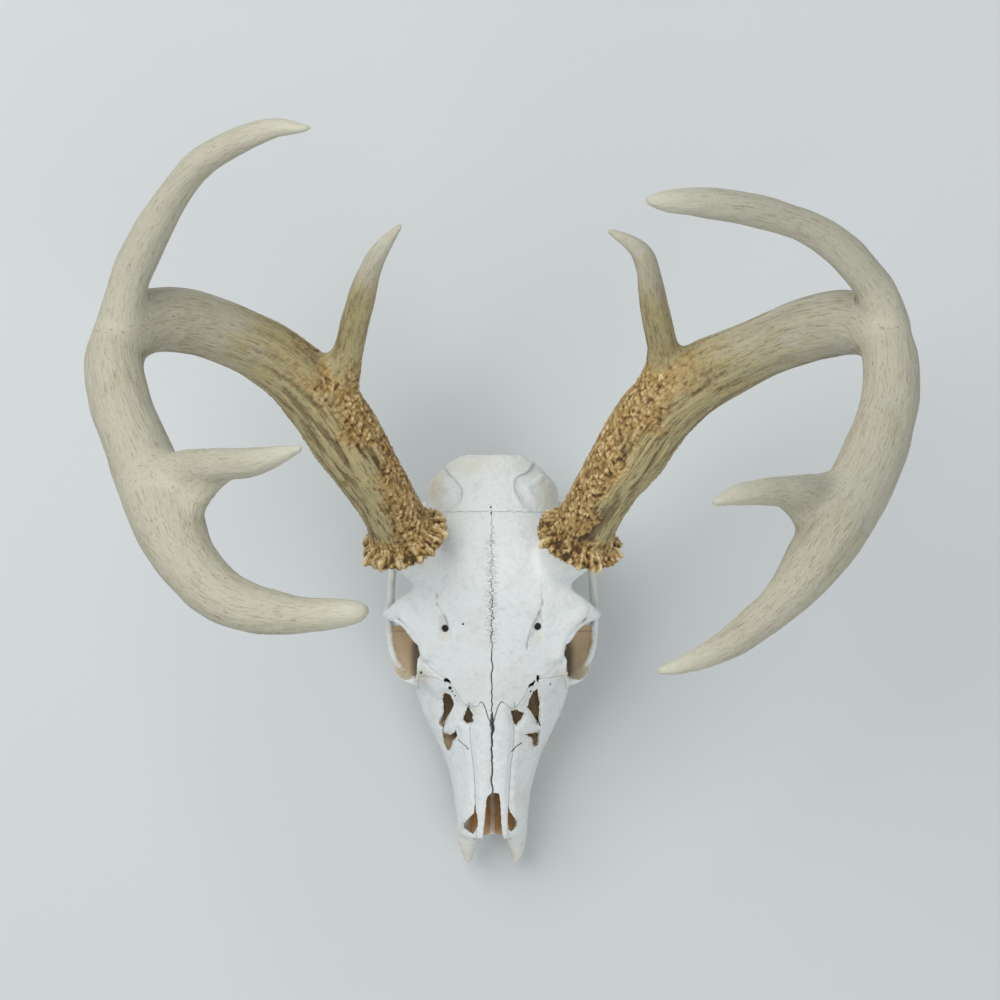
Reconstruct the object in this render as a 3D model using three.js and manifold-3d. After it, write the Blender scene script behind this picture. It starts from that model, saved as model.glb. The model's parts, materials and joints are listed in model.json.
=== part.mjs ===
// Skull and antlers of a mature white-tailed buck, without the lower jaw and the premaxillae.
//
// Millimetres. +Z is up, the nose points to -Y and +X is the animal's left. The skull lies on the
// wear faces of its cheek teeth and on the tips of its jugular processes, which are all at z = 0.
// The layout is written about the skull's midline (x = 0) and the line through the back of the
// antler burrs (y = 0). Last of all everything is moved by BOX_CENTRE, so that the origin is the
// middle of the whole object's box, at floor level.
import * as THREE from "three";
import { mergeVertices } from "three/addons/utils/BufferGeometryUtils.js";
import Module from "manifold-3d";

const wasm = await Module();
wasm.setup();

// ---------------------------------------------------------------- driving dimensions
const BOX_CENTRE = { x: 5.38, y: -16.49 };
const GAP = 0.3; // left open along every suture
const FAR = 400; // reach of a cutting block past the skull

// Sutures: where one bone ends and the next begins
const CORONAL_Y = -8; // braincase to frontals
const NASAL_ROOT_Y = -119; // frontals to nasals
const FACE_Y = -78; // maxillae to the base of the braincase
const NASAL_HALF_WIDTH = 13;
const NASAL_TIP_Y = -201;
const ROOF_SLOPE = 0.4; // fall of the nasal roof along the face
const NASAL_THICKNESS = 7;
const ORBIT_ROOF = { yRear: CORONAL_Y, zRear: 76, slope: 0.06 }; // underside of the frontals

// Cross-sections of the skull, from the nuchal crest to the forehead. half is the half width at
// the level wide; top and low are the midline heights; roof and keel say how square the upper and
// lower halves are: 1 is a straight-sided wedge, 2 an ellipse, more is boxier.
const CRANIUM = [
  { y: 26, half: 22, top: 85, wide: 78, low: 68, roof: 2.2, keel: 2 },
  { y: 21, half: 31, top: 90, wide: 70, low: 48, roof: 2.2, keel: 2 },
  { y: 8, half: 38.5, top: 98, wide: 66, low: 36, roof: 2.2, keel: 2 },
  { y: -9, half: 39, top: 106, wide: 70, low: 34, roof: 2.2, keel: 2 },
  { y: -26, half: 37, top: 112, wide: 80, low: 36, roof: 2.3, keel: 1.7 },
  { y: -42, half: 36.5, top: 114, wide: 92, low: 38, roof: 2.3, keel: 1.3 },
  { y: -57, half: 42, top: 112, wide: 97, low: 40, roof: 2.2, keel: 1.1 },
  { y: -70, half: 47, top: 108, wide: 94, low: 42, roof: 2, keel: 1.1 },
  { y: -86, half: 43, top: 103, wide: 88, low: 42, roof: 2, keel: 1.3 },
  { y: -104, half: 41, top: 95.5, wide: 78, low: 40, roof: 1.8, keel: 2 },
  { y: -122, half: 30, top: 86, wide: 64, low: 42, roof: 1.7, keel: 2 },
];
const FACE = [
  { y: -74, half: 24, top: 76, wide: 46, low: 26, roof: 2, keel: 3 },
  { y: -90, half: 40, top: 90, wide: 43, low: 15, roof: 1.8, keel: 3.4 },
  { y: -107, half: 46, top: 93.5, wide: 45, low: 13, roof: 1.7, keel: 3 },
  { y: -130, half: 40, top: 84.5, wide: 42, low: 12.5, roof: 1.65, keel: 3.2 },
  { y: -152, half: 30, top: 74.5, wide: 37, low: 12.5, roof: 1.75, keel: 3.4 },
  { y: -170, half: 24.5, top: 66, wide: 33, low: 13, roof: 2, keel: 3 },
  { y: -188, half: 22, top: 58.5, wide: 30, low: 13, roof: 2.3, keel: 2.6 },
  { y: -203, half: 20.5, top: 51, wide: 27, low: 12.5, roof: 2.2, keel: 2.2 },
];

// Sockets, openings and knobs, each an ellipsoid: centre and half axes
const ORBIT = { at: [54, -87, 76], size: [23, 19.5, 19] };
const ORBIT_CUP = { at: [46, -88, 66], size: [17, 22, 22] };
const TEMPORAL_FOSSA = { at: [57, -40, 62], size: [19, 28, 25] };
const FORAMEN_MAGNUM = { at: [0, 22, 51], size: [9.5, 17, 9] };
const CONDYLE = { at: [13, 13, 40], size: [8.5, 8.5, 12] };
const BULLA = { at: [21, -9, 30], size: [8, 11, 9] };
const MASTOID = { at: [30, 8, 58], size: [11, 12, 20] };
const CHOANA = { at: [0, -76, 40], size: [8, 26, 12] };
const PALATE_VAULT = { at: [0, -135, 11], size: [17, 92, 9] };
const NASAL_CAVITY = { at: [0, -196, 38], size: [12.5, 42, 14] };
const FACE_OPENINGS = [
  { at: [26, -123, 80], size: [3.4, 12, 14] },
  { at: [14.8, -126, 84], size: [3.2, 7, 13] },
  { at: [26, -142, 66], size: [3.8, 8.5, 14] },
];

// Slots seen from above at the front of the nose: y of the root and of the mouth, half widths
const NOSE_NOTCH = { x: 0, yRoot: -174, yMouth: -212, halfRoot: 3.2, halfMouth: 6, z: 40 };
const PRONG_SLIT = { x: 13.5, yRoot: -184, yMouth: -212, halfRoot: 0.8, halfMouth: 4.4, z: 40 };

// Bars and rods: centre line points with their half thicknesses across and upright
const ZYGOMATIC_ARCH = [
  { p: [36, -3, 53], across: 5, upright: 5 },
  { p: [50, -14, 53], across: 5, upright: 4.5 },
  { p: [58, -34, 54], across: 3, upright: 5 },
  { p: [60.5, -58, 56], across: 3, upright: 6 },
  { p: [60, -80, 57], across: 3, upright: 6.5 },
  { p: [53.5, -98, 58], across: 4, upright: 7 },
  { p: [42, -108, 60], across: 5, upright: 9 },
];
const POSTORBITAL_BAR = [
  { p: [38, -60, 100], across: 7, upright: 4.5 },
  { p: [52, -64, 96], across: 5.5, upright: 3.2 },
  { p: [60, -67, 88], across: 4.5, upright: 2.8 },
  { p: [60.5, -66, 74], across: 3.4, upright: 2.6 },
  { p: [60, -64, 58], across: 5, upright: 3 },
];
const JUGULAR_PROCESS = [
  { p: [27, 5, 46], across: 8, upright: 7 },
  { p: [25.5, 8, 26], across: 4.6, upright: 6 },
  { p: [24, 9, 8], across: 3, upright: 4.6 },
  { p: [23.5, 9, 0], across: 2.6, upright: 3.6 },
];
const PTERYGOID = [
  { p: [13, -84, 27], across: 2.2, upright: 11 },
  { p: [12.5, -66, 33], across: 1.8, upright: 11 },
  { p: [12, -46, 40], across: 2, upright: 8 },
];
const MAXILLA_PRONG = [
  { p: [14, -196, 25], across: 7.4, upright: 12 },
  { p: [14.5, -206, 22], across: 6.6, upright: 9 },
  { p: [15, -214, 18.5], across: 4.4, upright: 6 },
  { p: [13.8, -222, 15.5], across: 1.6, upright: 2.6 },
];

// Cheek teeth from the third molar forward: length along the row and width across it
const TEETH = [
  { length: 14.5, width: 14 },
  { length: 15.5, width: 15.5 },
  { length: 13.5, width: 14.5 },
  { length: 11, width: 12.5 },
  { length: 10.5, width: 11 },
  { length: 10, width: 9 },
];
const TOOTH_ROW = { yRear: -86, xRear: 29, xFront: 19.5, alveolus: 20, splay: 1.4, neck: 1.12, wear: 0.8 };

// Pedicles run up and back out of the frontals to the burrs
const PEDICLE = { foot: [37, -43, 104], head: [48.6, -24.6, 124], footRadius: 17, headRadius: 15.5 };
const BURR = { radius: 25.5, thickness: 6 };

// Antler centre lines: place of the axis and radius there. Each beam runs from its burr to its
// tip, and splits gives the indices of the stations at which it is cut into named lengths.
const RIGHT_ANTLER = {
  beam: [
    [-49, -24, 124.6, 18.5],
    [-56, -8, 137, 17],
    [-65, 9, 150, 17.5],
    [-79, 32, 163, 19.5],
    [-91, 51, 173, 20],
    [-112, 73, 187, 18],
    [-138, 88, 205, 17],
    [-166, 96, 224, 17.5],
    [-186, 92, 243, 17],
    [-195, 76, 261, 15.5],
    [-190, 50, 279, 16],
    [-177, 23, 298, 16.7],
    [-162, -7, 320, 18.3],
    [-148, -31, 338, 15],
    [-126, -49, 352, 13],
    [-97, -55, 363, 10],
    [-69, -54, 370, 6.8],
    [-57, -52, 373, 4],
  ],
  splits: [5, 9, 13],
  brow: [
    [-88, 56, 174, 14],
    [-79, 79, 188, 9.8],
    [-72, 101, 209, 7.8],
    [-62, 127, 231, 6],
    [-46, 146, 248, 1.8],
  ],
  second: [
    [-194, 82, 257, 14],
    [-190, 108, 260, 11.5],
    [-179, 131, 268, 10.5],
    [-163, 154, 284, 8.5],
    [-143, 172, 301, 7.8],
    [-112, 184, 320, 6],
    [-87, 183, 333, 1.8],
  ],
  third: [
    [-166, 6, 318, 15],
    [-149, 15, 330, 11],
    [-134, 17, 346, 8.3],
    [-109, 19, 370, 6.5],
    [-87, 25, 390, 1.8],
  ],
};
const LEFT_ANTLER = {
  beam: [
    [49, -24, 124.6, 18.5],
    [56, -8, 137, 17],
    [65, 8, 150, 17.5],
    [79, 29, 162, 20],
    [93, 50, 173, 20.5],
    [116, 68, 187, 19],
    [145, 82, 205, 16.7],
    [172, 92, 223, 17.8],
    [195, 93, 241, 17],
    [206, 80, 260, 14.5],
    [205, 52, 277, 15],
    [194, 23, 296, 16.2],
    [178, -4, 316, 17],
    [162, -26, 334, 15.2],
    [142, -49, 350, 11],
    [115, -69, 364, 7.7],
    [91, -79, 373, 4.6],
    [78, -82, 377, 2],
  ],
  splits: [5, 9, 13],
  brow: [
    [91, 55, 173, 14],
    [94, 77, 187, 10.2],
    [88, 102, 211, 8],
    [80, 130, 235, 5.8],
    [59, 143, 247, 1.8],
  ],
  second: [
    [207, 88, 257, 14],
    [199, 108, 262, 12],
    [178, 127, 276, 11.6],
    [154, 139, 291, 9.3],
    [121, 147, 310, 8.8],
    [90, 148, 324, 6.2],
    [75, 148, 331, 2],
  ],
  third: [
    [180, -1, 315, 15],
    [164, 3, 328, 11],
    [146, 4, 346, 8.3],
    [122, 3, 367, 5.9],
    [104, -2, 380, 2],
  ],
};

// Facets
const SKULL_SIDES = 16;
const BAR_SIDES = 6;
const ANTLER_SIDES = 10;
const TOOTH_SIDES = 6;
const KNOB_SIDES = 8;
const ORBIT_SIDES = 12;
const PEDICLE_SIDES = 12;
const BURR_SIDES = 12;
const CRANIUM_RINGS = 1; // rings from one station to the next
const FACE_RINGS = 1;
const BAR_RINGS = 2;
const ANTLER_RINGS = 2;

// ---------------------------------------------------------------- making shapes
function solidOf(geometry) {
  const bare = geometry.clone();
  bare.deleteAttribute("normal");
  bare.deleteAttribute("uv");
  const joined = mergeVertices(bare, 1e-4);
  const vertProperties = new Float32Array(joined.attributes.position.array);
  const triVerts = new Uint32Array(joined.index.array);
  return new wasm.Manifold(new wasm.Mesh({ numProp: 3, vertProperties, triVerts }));
}

function meshOf(solid, name, material) {
  const { vertProperties, triVerts } = solid.getMesh();
  const geometry = new THREE.BufferGeometry();
  geometry.setAttribute("position", new THREE.BufferAttribute(vertProperties, 3));
  geometry.setIndex(new THREE.BufferAttribute(triVerts, 1));
  geometry.computeVertexNormals();
  const mesh = new THREE.Mesh(geometry, material);
  mesh.name = name;
  mesh.position.set(-BOX_CENTRE.x, -BOX_CENTRE.y, 0);
  return mesh;
}

// The largest separate body of a solid, without slivers that a cut leaves behind
function mainBody(solid) {
  const bodies = solid.decompose();
  return bodies.reduce((best, body) => (body.volume() > best.volume() ? body : best));
}

// Moves every point of a geometry by a function of its place
function deform(geometry, shape) {
  const position = geometry.attributes.position;
  const point = new THREE.Vector3();
  for (let i = 0; i < position.count; i += 1) {
    point.fromBufferAttribute(position, i);
    shape(point);
    position.setXYZ(i, point.x, point.y, point.z);
  }
  return geometry;
}

function ellipsoid({ at, size }, side = 1, around = KNOB_SIDES) {
  const geometry = new THREE.SphereGeometry(1, around, Math.round(around * 0.6));
  geometry.scale(...size);
  geometry.translate(side * at[0], at[1], at[2]);
  return solidOf(geometry);
}

// A smooth closed body along a list of stations. ring(t, angle, reach, point) places the point of
// the skin at reach = 1 and of the axis at reach = 0, with t running from 0 to 1.
function loft(stationCount, perSpan, sides, ring) {
  const rings = (stationCount - 1) * perSpan;
  const geometry = new THREE.CylinderGeometry(1, 1, 1, sides, rings, false);
  deform(geometry, (point) => {
    const t = 0.5 - point.y;
    const reach = Math.min(1, Math.hypot(point.x, point.z));
    const angle = Math.atan2(point.z, point.x);
    ring(t, angle, reach, point);
  });
  const body = solidOf(geometry);
  if (body.volume() > 0) return body;
  geometry.index.array.reverse();
  return solidOf(geometry);
}

function curveThrough(points) {
  return new THREE.CatmullRomCurve3(
    points.map((p) => new THREE.Vector3(...p)),
    false,
    "catmullrom",
    0.5,
  );
}

// The skull's sections, grown by grow on every side
function sectionLoft(stations, perSpan, grow = 0) {
  const place = curveThrough(stations.map((s) => [s.y, s.half, s.wide]));
  const height = curveThrough(stations.map((s) => [s.top, s.low, 0]));
  const square = curveThrough(stations.map((s) => [s.roof, s.keel, 0]));
  return loft(stations.length, perSpan, SKULL_SIDES, (t, angle, reach, point) => {
    const { x: y, y: half, z: wide } = place.getPoint(t);
    const { x: top, y: low } = height.getPoint(t);
    const { x: roof, y: keel } = square.getPoint(t);
    const up = Math.sin(angle);
    const out = Math.cos(angle);
    const power = 2 / (up > 0 ? roof : keel);
    const rise = up > 0 ? top + grow - wide : wide - low + grow;
    point.x = reach * (half + grow) * Math.sign(out) * Math.abs(out) ** power;
    point.y = y + (t === 0 ? grow : 0) - (t === 1 ? grow : 0);
    point.z = wide + reach * rise * Math.sign(up) * Math.abs(up) ** power;
  });
}

// A bar of oval section along the given stations, mirrored by side
function bar(stations, side) {
  const spine = curveThrough(stations.map(({ p }) => [side * p[0], p[1], p[2]]));
  const girth = curveThrough(stations.map((s) => [s.across, s.upright, 0]));
  const tangent = new THREE.Vector3();
  const across = new THREE.Vector3();
  const upright = new THREE.Vector3();
  const reference = new THREE.Vector3();
  const first = new THREE.Vector3(...stations[0].p);
  const last = new THREE.Vector3(...stations.at(-1).p);
  const steep = Math.abs(last.z - first.z) > first.distanceTo(last) / 2;
  return loft(stations.length, BAR_RINGS, BAR_SIDES, (t, angle, reach, point) => {
    const { x: w, y: h } = girth.getPoint(t);
    spine.getTangent(t, tangent);
    reference.set(0, steep ? 1 : 0, steep ? 0 : 1);
    across.crossVectors(tangent, reference).normalize();
    upright.crossVectors(across, tangent).normalize();
    spine.getPoint(t, point);
    point.addScaledVector(across, reach * w * Math.cos(angle));
    point.addScaledVector(upright, reach * h * Math.sin(angle));
  });
}

// A round length of antler between two of its stations, with a flat face at each cut end
function antlerLength(stations, first = 0, last = stations.length - 1, grow = 0) {
  const spine = curveThrough(stations.map((s) => s.slice(0, 3)));
  const girth = curveThrough(stations.map((s) => [s[3] + grow, 0, 0]));
  const spans = stations.length - 1;
  const inset = (GAP / 2 - grow) / spine.getLength();
  const start = first === 0 ? 0 : first / spans + inset;
  const end = last === spans ? 1 : last / spans - inset;
  const rings = (last - first) * ANTLER_RINGS;
  const { normals, binormals } = parallelFrames(spine, start, end, rings);
  return loft(last - first + 1, ANTLER_RINGS, ANTLER_SIDES, (t, angle, reach, point) => {
    const ring = Math.round(t * rings);
    const along = start + (end - start) * t;
    const radius = girth.getPoint(along).x;
    spine.getPoint(along, point);
    point.addScaledVector(normals[ring], reach * radius * Math.cos(angle));
    point.addScaledVector(binormals[ring], reach * radius * Math.sin(angle));
  });
}

// Cross directions along a curve that turn as little as they can from ring to ring
function parallelFrames(curve, start, end, rings) {
  const normals = [];
  const binormals = [];
  const normal = new THREE.Vector3(0, 0, 1);
  for (let i = 0; i <= rings; i += 1) {
    const tangent = curve.getTangent(start + ((end - start) * i) / rings);
    normal.addScaledVector(tangent, -normal.dot(tangent)).normalize();
    normals.push(normal.clone());
    binormals.push(new THREE.Vector3().crossVectors(tangent, normal));
  }
  return { normals, binormals };
}

// A block between two corners, tilted about the x axis through its rear lower edge
function block([x0, x1], [y0, y1], [z0, z1], slope = 0, pivot = [0, 0]) {
  const geometry = new THREE.BoxGeometry(x1 - x0, y1 - y0, z1 - z0);
  geometry.translate((x0 + x1) / 2, (y0 + y1) / 2, (z0 + z1) / 2);
  deform(geometry, (point) => {
    point.z += pivot[1] + slope * (point.y - pivot[0]);
  });
  return solidOf(geometry);
}

// An upright slot that widens toward the front of the nose
function slot({ x, yRoot, yMouth, halfRoot, halfMouth, z }, side = 1) {
  const outline = new THREE.Shape();
  outline.moveTo(side * x - halfRoot, yRoot);
  outline.lineTo(side * x - halfMouth, yMouth);
  outline.lineTo(side * x + halfMouth, yMouth);
  outline.lineTo(side * x + halfRoot, yRoot);
  outline.closePath();
  const geometry = new THREE.ExtrudeGeometry(outline, { depth: 60, bevelEnabled: false });
  geometry.translate(0, 0, z);
  return solidOf(geometry);
}

const joinAll = (solids) => solids.reduce((whole, solid) => whole.add(solid));
const cutAll = (body, tools) => tools.reduce((left, tool) => left.subtract(tool), body);

// ---------------------------------------------------------------- skull
function tooth(side, x, y, { length, width }) {
  const geometry = new THREE.CylinderGeometry(TOOTH_ROW.neck, TOOTH_ROW.wear, 1, TOOTH_SIDES);
  geometry.rotateX(Math.PI / 2);
  geometry.scale(width / 2, length / 2, TOOTH_ROW.alveolus);
  geometry.translate(side * x, y, TOOTH_ROW.alveolus / 2);
  return solidOf(geometry);
}

function toothRow(side) {
  const { yRear, xRear, xFront, splay } = TOOTH_ROW;
  const reach = TEETH.reduce((sum, { length }) => sum + length, 0);
  let run = 0;
  return TEETH.map((size) => {
    const middle = run + size.length / 2;
    const x = xRear + (xFront - xRear) * (middle / reach) ** splay;
    run += size.length;
    return tooth(side, x, yRear - middle, size);
  });
}

function pedicle(side, grow = 0) {
  const { foot, head, footRadius, headRadius } = PEDICLE;
  const axis = [foot, head].map(([x, y, z]) => new THREE.Vector3(side * x, y, z));
  const length = axis[0].distanceTo(axis[1]) + grow;
  const up = new THREE.Vector3().subVectors(axis[1], axis[0]).normalize();
  const turn = new THREE.Quaternion().setFromUnitVectors(new THREE.Vector3(0, 1, 0), up);
  const geometry = new THREE.CylinderGeometry(headRadius + grow, footRadius + grow, length, PEDICLE_SIDES);
  geometry.translate(0, length / 2, 0);
  geometry.applyQuaternion(turn);
  geometry.translate(axis[0].x, axis[0].y, axis[0].z);
  return solidOf(geometry);
}

const sides = { right: -1, left: 1 };
const bothSides = Object.values(sides);

function headShell(grow = 0) {
  return sectionLoft(CRANIUM, CRANIUM_RINGS, grow).add(sectionLoft(FACE, FACE_RINGS, grow));
}

function wholeSkull() {
  const shell = headShell();
  const knobs = bothSides.flatMap((side) => [
    ellipsoid(MASTOID, side),
    ellipsoid(CONDYLE, side),
    ellipsoid(BULLA, side),
    bar(JUGULAR_PROCESS, side),
    bar(PTERYGOID, side),
    bar(MAXILLA_PRONG, side),
    pedicle(side),
    ...toothRow(side),
  ]);
  const hollows = bothSides.flatMap((side) => [
    ellipsoid(ORBIT, side, ORBIT_SIDES),
    ellipsoid(TEMPORAL_FOSSA, side, ORBIT_SIDES),
    slot(PRONG_SLIT, side),
    ...FACE_OPENINGS.map((opening) => ellipsoid(opening, side)),
  ]);
  const midline = [FORAMEN_MAGNUM, CHOANA, PALATE_VAULT, NASAL_CAVITY];
  const openings = midline.map((hollow) => ellipsoid(hollow, 1, ORBIT_SIDES));
  const carved = cutAll(shell, [...hollows, ...openings, slot(NOSE_NOTCH)]);
  return joinAll([carved, ...knobs]).intersect(block([-FAR, FAR], [-FAR, FAR], [0, FAR]));
}

function zygomatic(side) {
  const bars = bar(ZYGOMATIC_ARCH, side).add(bar(POSTORBITAL_BAR, side));
  const cup = ellipsoid(ORBIT_CUP, side, ORBIT_SIDES);
  const socket = ellipsoid(ORBIT, side, ORBIT_SIDES);
  return mainBody(cutAll(cup.add(bars), [socket, headShell(GAP), pedicle(side, GAP)]));
}

// The regions that the sutures bound, each grown by grow
function frontalRegion(side, grow = 0) {
  const x = side > 0 ? [GAP / 2 - grow, FAR] : [-FAR, -GAP / 2 + grow];
  const y = [NASAL_ROOT_Y + GAP / 2 - grow, CORONAL_Y - GAP / 2 + grow];
  const { yRear, zRear, slope } = ORBIT_ROOF;
  return block(x, y, [-grow, FAR], -slope, [yRear, zRear]);
}

function nasalRegion(side, grow = 0) {
  const wide = NASAL_HALF_WIDTH + grow;
  const x = side > 0 ? [GAP / 2 - grow, wide] : [-wide, -GAP / 2 + grow];
  const y = [NASAL_TIP_Y - grow, NASAL_ROOT_Y - GAP / 2 + grow];
  const top = 89;
  return block(x, y, [-NASAL_THICKNESS - grow, FAR], ROOF_SLOPE, [NASAL_ROOT_Y, top]);
}

const bone = new THREE.MeshStandardMaterial({ color: 0xe4e2da, roughness: 0.72, metalness: 0 });
const antler = new THREE.MeshStandardMaterial({ color: 0xb79a6c, roughness: 0.6, metalness: 0 });
const model = new THREE.Group();

const skull = wholeSkull();
const upperBones = bothSides.flatMap((side) => [frontalRegion(side, GAP), nasalRegion(side, GAP)]);
const lowerSkull = cutAll(skull, upperBones);
const rear = block([-FAR, FAR], [FACE_Y + GAP / 2, FAR], [-1, FAR]);
model.add(meshOf(mainBody(lowerSkull.intersect(rear)), "braincase", bone));

for (const [name, side] of Object.entries(sides)) {
  const x = side > 0 ? [GAP / 2, FAR] : [-FAR, -GAP / 2];
  const frontRegion = block(x, [-FAR, FACE_Y - GAP / 2], [-1, FAR]);
  const pieces = {
    frontal: skull.intersect(frontalRegion(side)),
    nasal: skull.intersect(nasalRegion(side)),
    maxilla: lowerSkull.intersect(frontRegion),
    zygomatic: zygomatic(side),
  };
  for (const [piece, solid] of Object.entries(pieces)) {
    model.add(meshOf(mainBody(solid), `${piece}_${name}`, bone));
  }
}

// ---------------------------------------------------------------- antlers
function burr(side, stations) {
  const [from, to] = stations.map((s) => new THREE.Vector3(...s.slice(0, 3)));
  const up = new THREE.Vector3().subVectors(to, from).normalize();
  const { radius, thickness } = BURR;
  const profile = [
    new THREE.Vector2(0, 0),
    new THREE.Vector2(radius * 0.84, 0),
    new THREE.Vector2(radius, thickness * 0.5),
    new THREE.Vector2(radius * 0.86, thickness),
    new THREE.Vector2(0, thickness * 1.3),
  ];
  const geometry = new THREE.LatheGeometry(profile, BURR_SIDES);
  const turn = new THREE.Quaternion().setFromUnitVectors(new THREE.Vector3(0, 1, 0), up);
  geometry.applyQuaternion(turn);
  geometry.translate(from.x, from.y, from.z);
  return solidOf(geometry);
}

function antlerPieces(side, { beam, splits, brow, second, third }) {
  const ends = [0, ...splits, beam.length - 1];
  const lengths = (grow) =>
    ends.slice(1).map((end, i) => antlerLength(beam, ends[i], end, grow));
  const [base, mid, front, tip] = lengths(0);
  const grownBeam = joinAll(lengths(GAP));
  return {
    beam_base: base.add(burr(side, beam)).subtract(pedicle(side, GAP)),
    beam_mid: mid,
    beam_front: front,
    beam_tip: tip,
    brow_tine: antlerLength(brow).subtract(grownBeam),
    second_tine: antlerLength(second).subtract(grownBeam),
    third_tine: antlerLength(third).subtract(grownBeam),
  };
}

const antlers = { right: RIGHT_ANTLER, left: LEFT_ANTLER };
for (const [name, stations] of Object.entries(antlers)) {
  const pieces = antlerPieces(sides[name], stations);
  for (const [piece, solid] of Object.entries(pieces)) {
    model.add(meshOf(mainBody(solid), `${piece}_${name}`, antler));
  }
}

export default model;
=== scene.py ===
"""Skull and antlers of a mature white-tailed buck, finished as a museum piece.

Shapes are worked in millimetres in the skull's own layout: the midline is x = 0, the nose points to
-Y, +Z is up and the skull lies on its cheek teeth at z = 0. Each finished piece is then put in the
frame in metres.
"""

from __future__ import annotations

import json
import logging
import math
from collections.abc import Callable, Sequence
from dataclasses import dataclass, field
from enum import Enum
from typing import Any

import bmesh
import bpy
import numpy as np
from mathutils import Matrix, Vector, noise

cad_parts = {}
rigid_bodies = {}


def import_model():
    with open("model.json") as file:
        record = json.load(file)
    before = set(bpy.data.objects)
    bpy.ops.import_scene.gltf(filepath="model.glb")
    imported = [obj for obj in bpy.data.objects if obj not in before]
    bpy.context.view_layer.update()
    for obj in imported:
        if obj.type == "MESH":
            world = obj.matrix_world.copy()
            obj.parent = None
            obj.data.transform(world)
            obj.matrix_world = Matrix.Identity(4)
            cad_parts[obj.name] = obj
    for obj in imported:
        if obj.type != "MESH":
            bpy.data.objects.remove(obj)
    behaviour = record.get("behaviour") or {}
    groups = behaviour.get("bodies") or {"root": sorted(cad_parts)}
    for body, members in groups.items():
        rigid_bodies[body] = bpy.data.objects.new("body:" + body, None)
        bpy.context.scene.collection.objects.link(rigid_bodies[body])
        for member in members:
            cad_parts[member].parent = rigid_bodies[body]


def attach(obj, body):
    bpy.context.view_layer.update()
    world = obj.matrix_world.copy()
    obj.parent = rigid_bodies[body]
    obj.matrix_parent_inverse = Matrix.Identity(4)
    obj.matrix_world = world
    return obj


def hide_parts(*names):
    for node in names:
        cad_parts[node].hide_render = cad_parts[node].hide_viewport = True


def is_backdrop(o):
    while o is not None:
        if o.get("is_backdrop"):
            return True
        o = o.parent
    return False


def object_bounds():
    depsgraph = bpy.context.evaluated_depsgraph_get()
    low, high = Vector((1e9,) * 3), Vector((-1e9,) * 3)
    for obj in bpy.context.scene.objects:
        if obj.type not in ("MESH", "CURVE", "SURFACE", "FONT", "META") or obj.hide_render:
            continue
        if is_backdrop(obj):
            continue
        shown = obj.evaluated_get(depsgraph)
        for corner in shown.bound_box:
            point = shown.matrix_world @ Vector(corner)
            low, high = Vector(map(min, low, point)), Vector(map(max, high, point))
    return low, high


logging.basicConfig(level=logging.INFO, format="%(message)s")
LOG = logging.getLogger("skull")

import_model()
CAD_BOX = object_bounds()

NOISE_SEED = 7  # the noise is otherwise seeded by the clock
noise.seed_set(NOISE_SEED)

MM = 0.001
BOX_CENTRE = np.array([5.38, -16.49, 0.0])  # mm, middle of the whole object's box in the layout
CAMERA_X = 4.7  # mm, the camera hangs this far to the left side of the midline
CAMERA_HEIGHT = 1650.0  # mm above the floor
VIEW_WIDTH = 616.8  # mm of floor across the picture
SKULL_VOXEL = 0.9  # mm
ANTLER_VOXEL = 1.4  # mm
SEAM_EXTRA = 0.04  # mm added to every seam's width

Points = np.ndarray


class Side(Enum):
    """A side of the animal."""

    RIGHT = -1
    LEFT = 1

    @property
    def label(self) -> str:
        """The side's name in lower case."""
        return self.name.lower()


# ------------------------------------------------------------------ numbers along a line
def run_through(stations: Sequence[Sequence[float]], t: Points) -> Points:
    """Values along a smooth line through evenly numbered stations.

    Args:
        stations: one row of values for each station.
        t: places along the line, from 0 at the first station to 1 at the last.

    Returns:
        One row of values for each place.
    """
    rows = np.asarray(stations, float)
    spans = len(rows) - 1
    index = np.clip((t * spans).astype(int), 0, spans - 1)
    part = (t * spans - index)[:, None]
    ends = np.vstack([2 * rows[0] - rows[1], rows, 2 * rows[-1] - rows[-2]])
    before, start, end, after = (ends[index + k] for k in range(4))
    return 0.5 * (
        2 * start
        + (end - before) * part
        + (2 * before - 5 * start + 4 * end - after) * part**2
        + (3 * start - before - 3 * end + after) * part**3
    )


def fade(value: Points, low: float, high: float) -> Points:
    """Rises smoothly from 0 at low to 1 at high."""
    part = np.clip((value - low) / (high - low), 0.0, 1.0)
    return part * part * (3 - 2 * part)


def bump(value: Points, width: float) -> Points:
    """A smooth hump of height 1 at 0 that ends at width to either side."""
    part = np.clip(1 - (value / width) ** 2, 0.0, 1.0)
    return part * part


def grain(points: Points, size: float | Sequence[float], depth: int = 2, seed: float = 0.0) -> Points:
    """Smooth noise of about -1 to 1 at each point, with lumps of the given size."""
    scaled = points / np.asarray(size, float) + seed
    values = [noise.fractal(Vector(p), 1.0, 2.0, depth) for p in scaled]
    return np.array(values)


def beads(points: Points, size: float | Sequence[float], seed: float = 0.0) -> Points:
    """Round bead pattern: 1 at the middle of each bead and 0 or less between beads."""
    scaled = points / np.asarray(size, float) + seed
    return np.array([1 - 1.7 * noise.voronoi(Vector(p))[0][0] for p in scaled])


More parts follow.
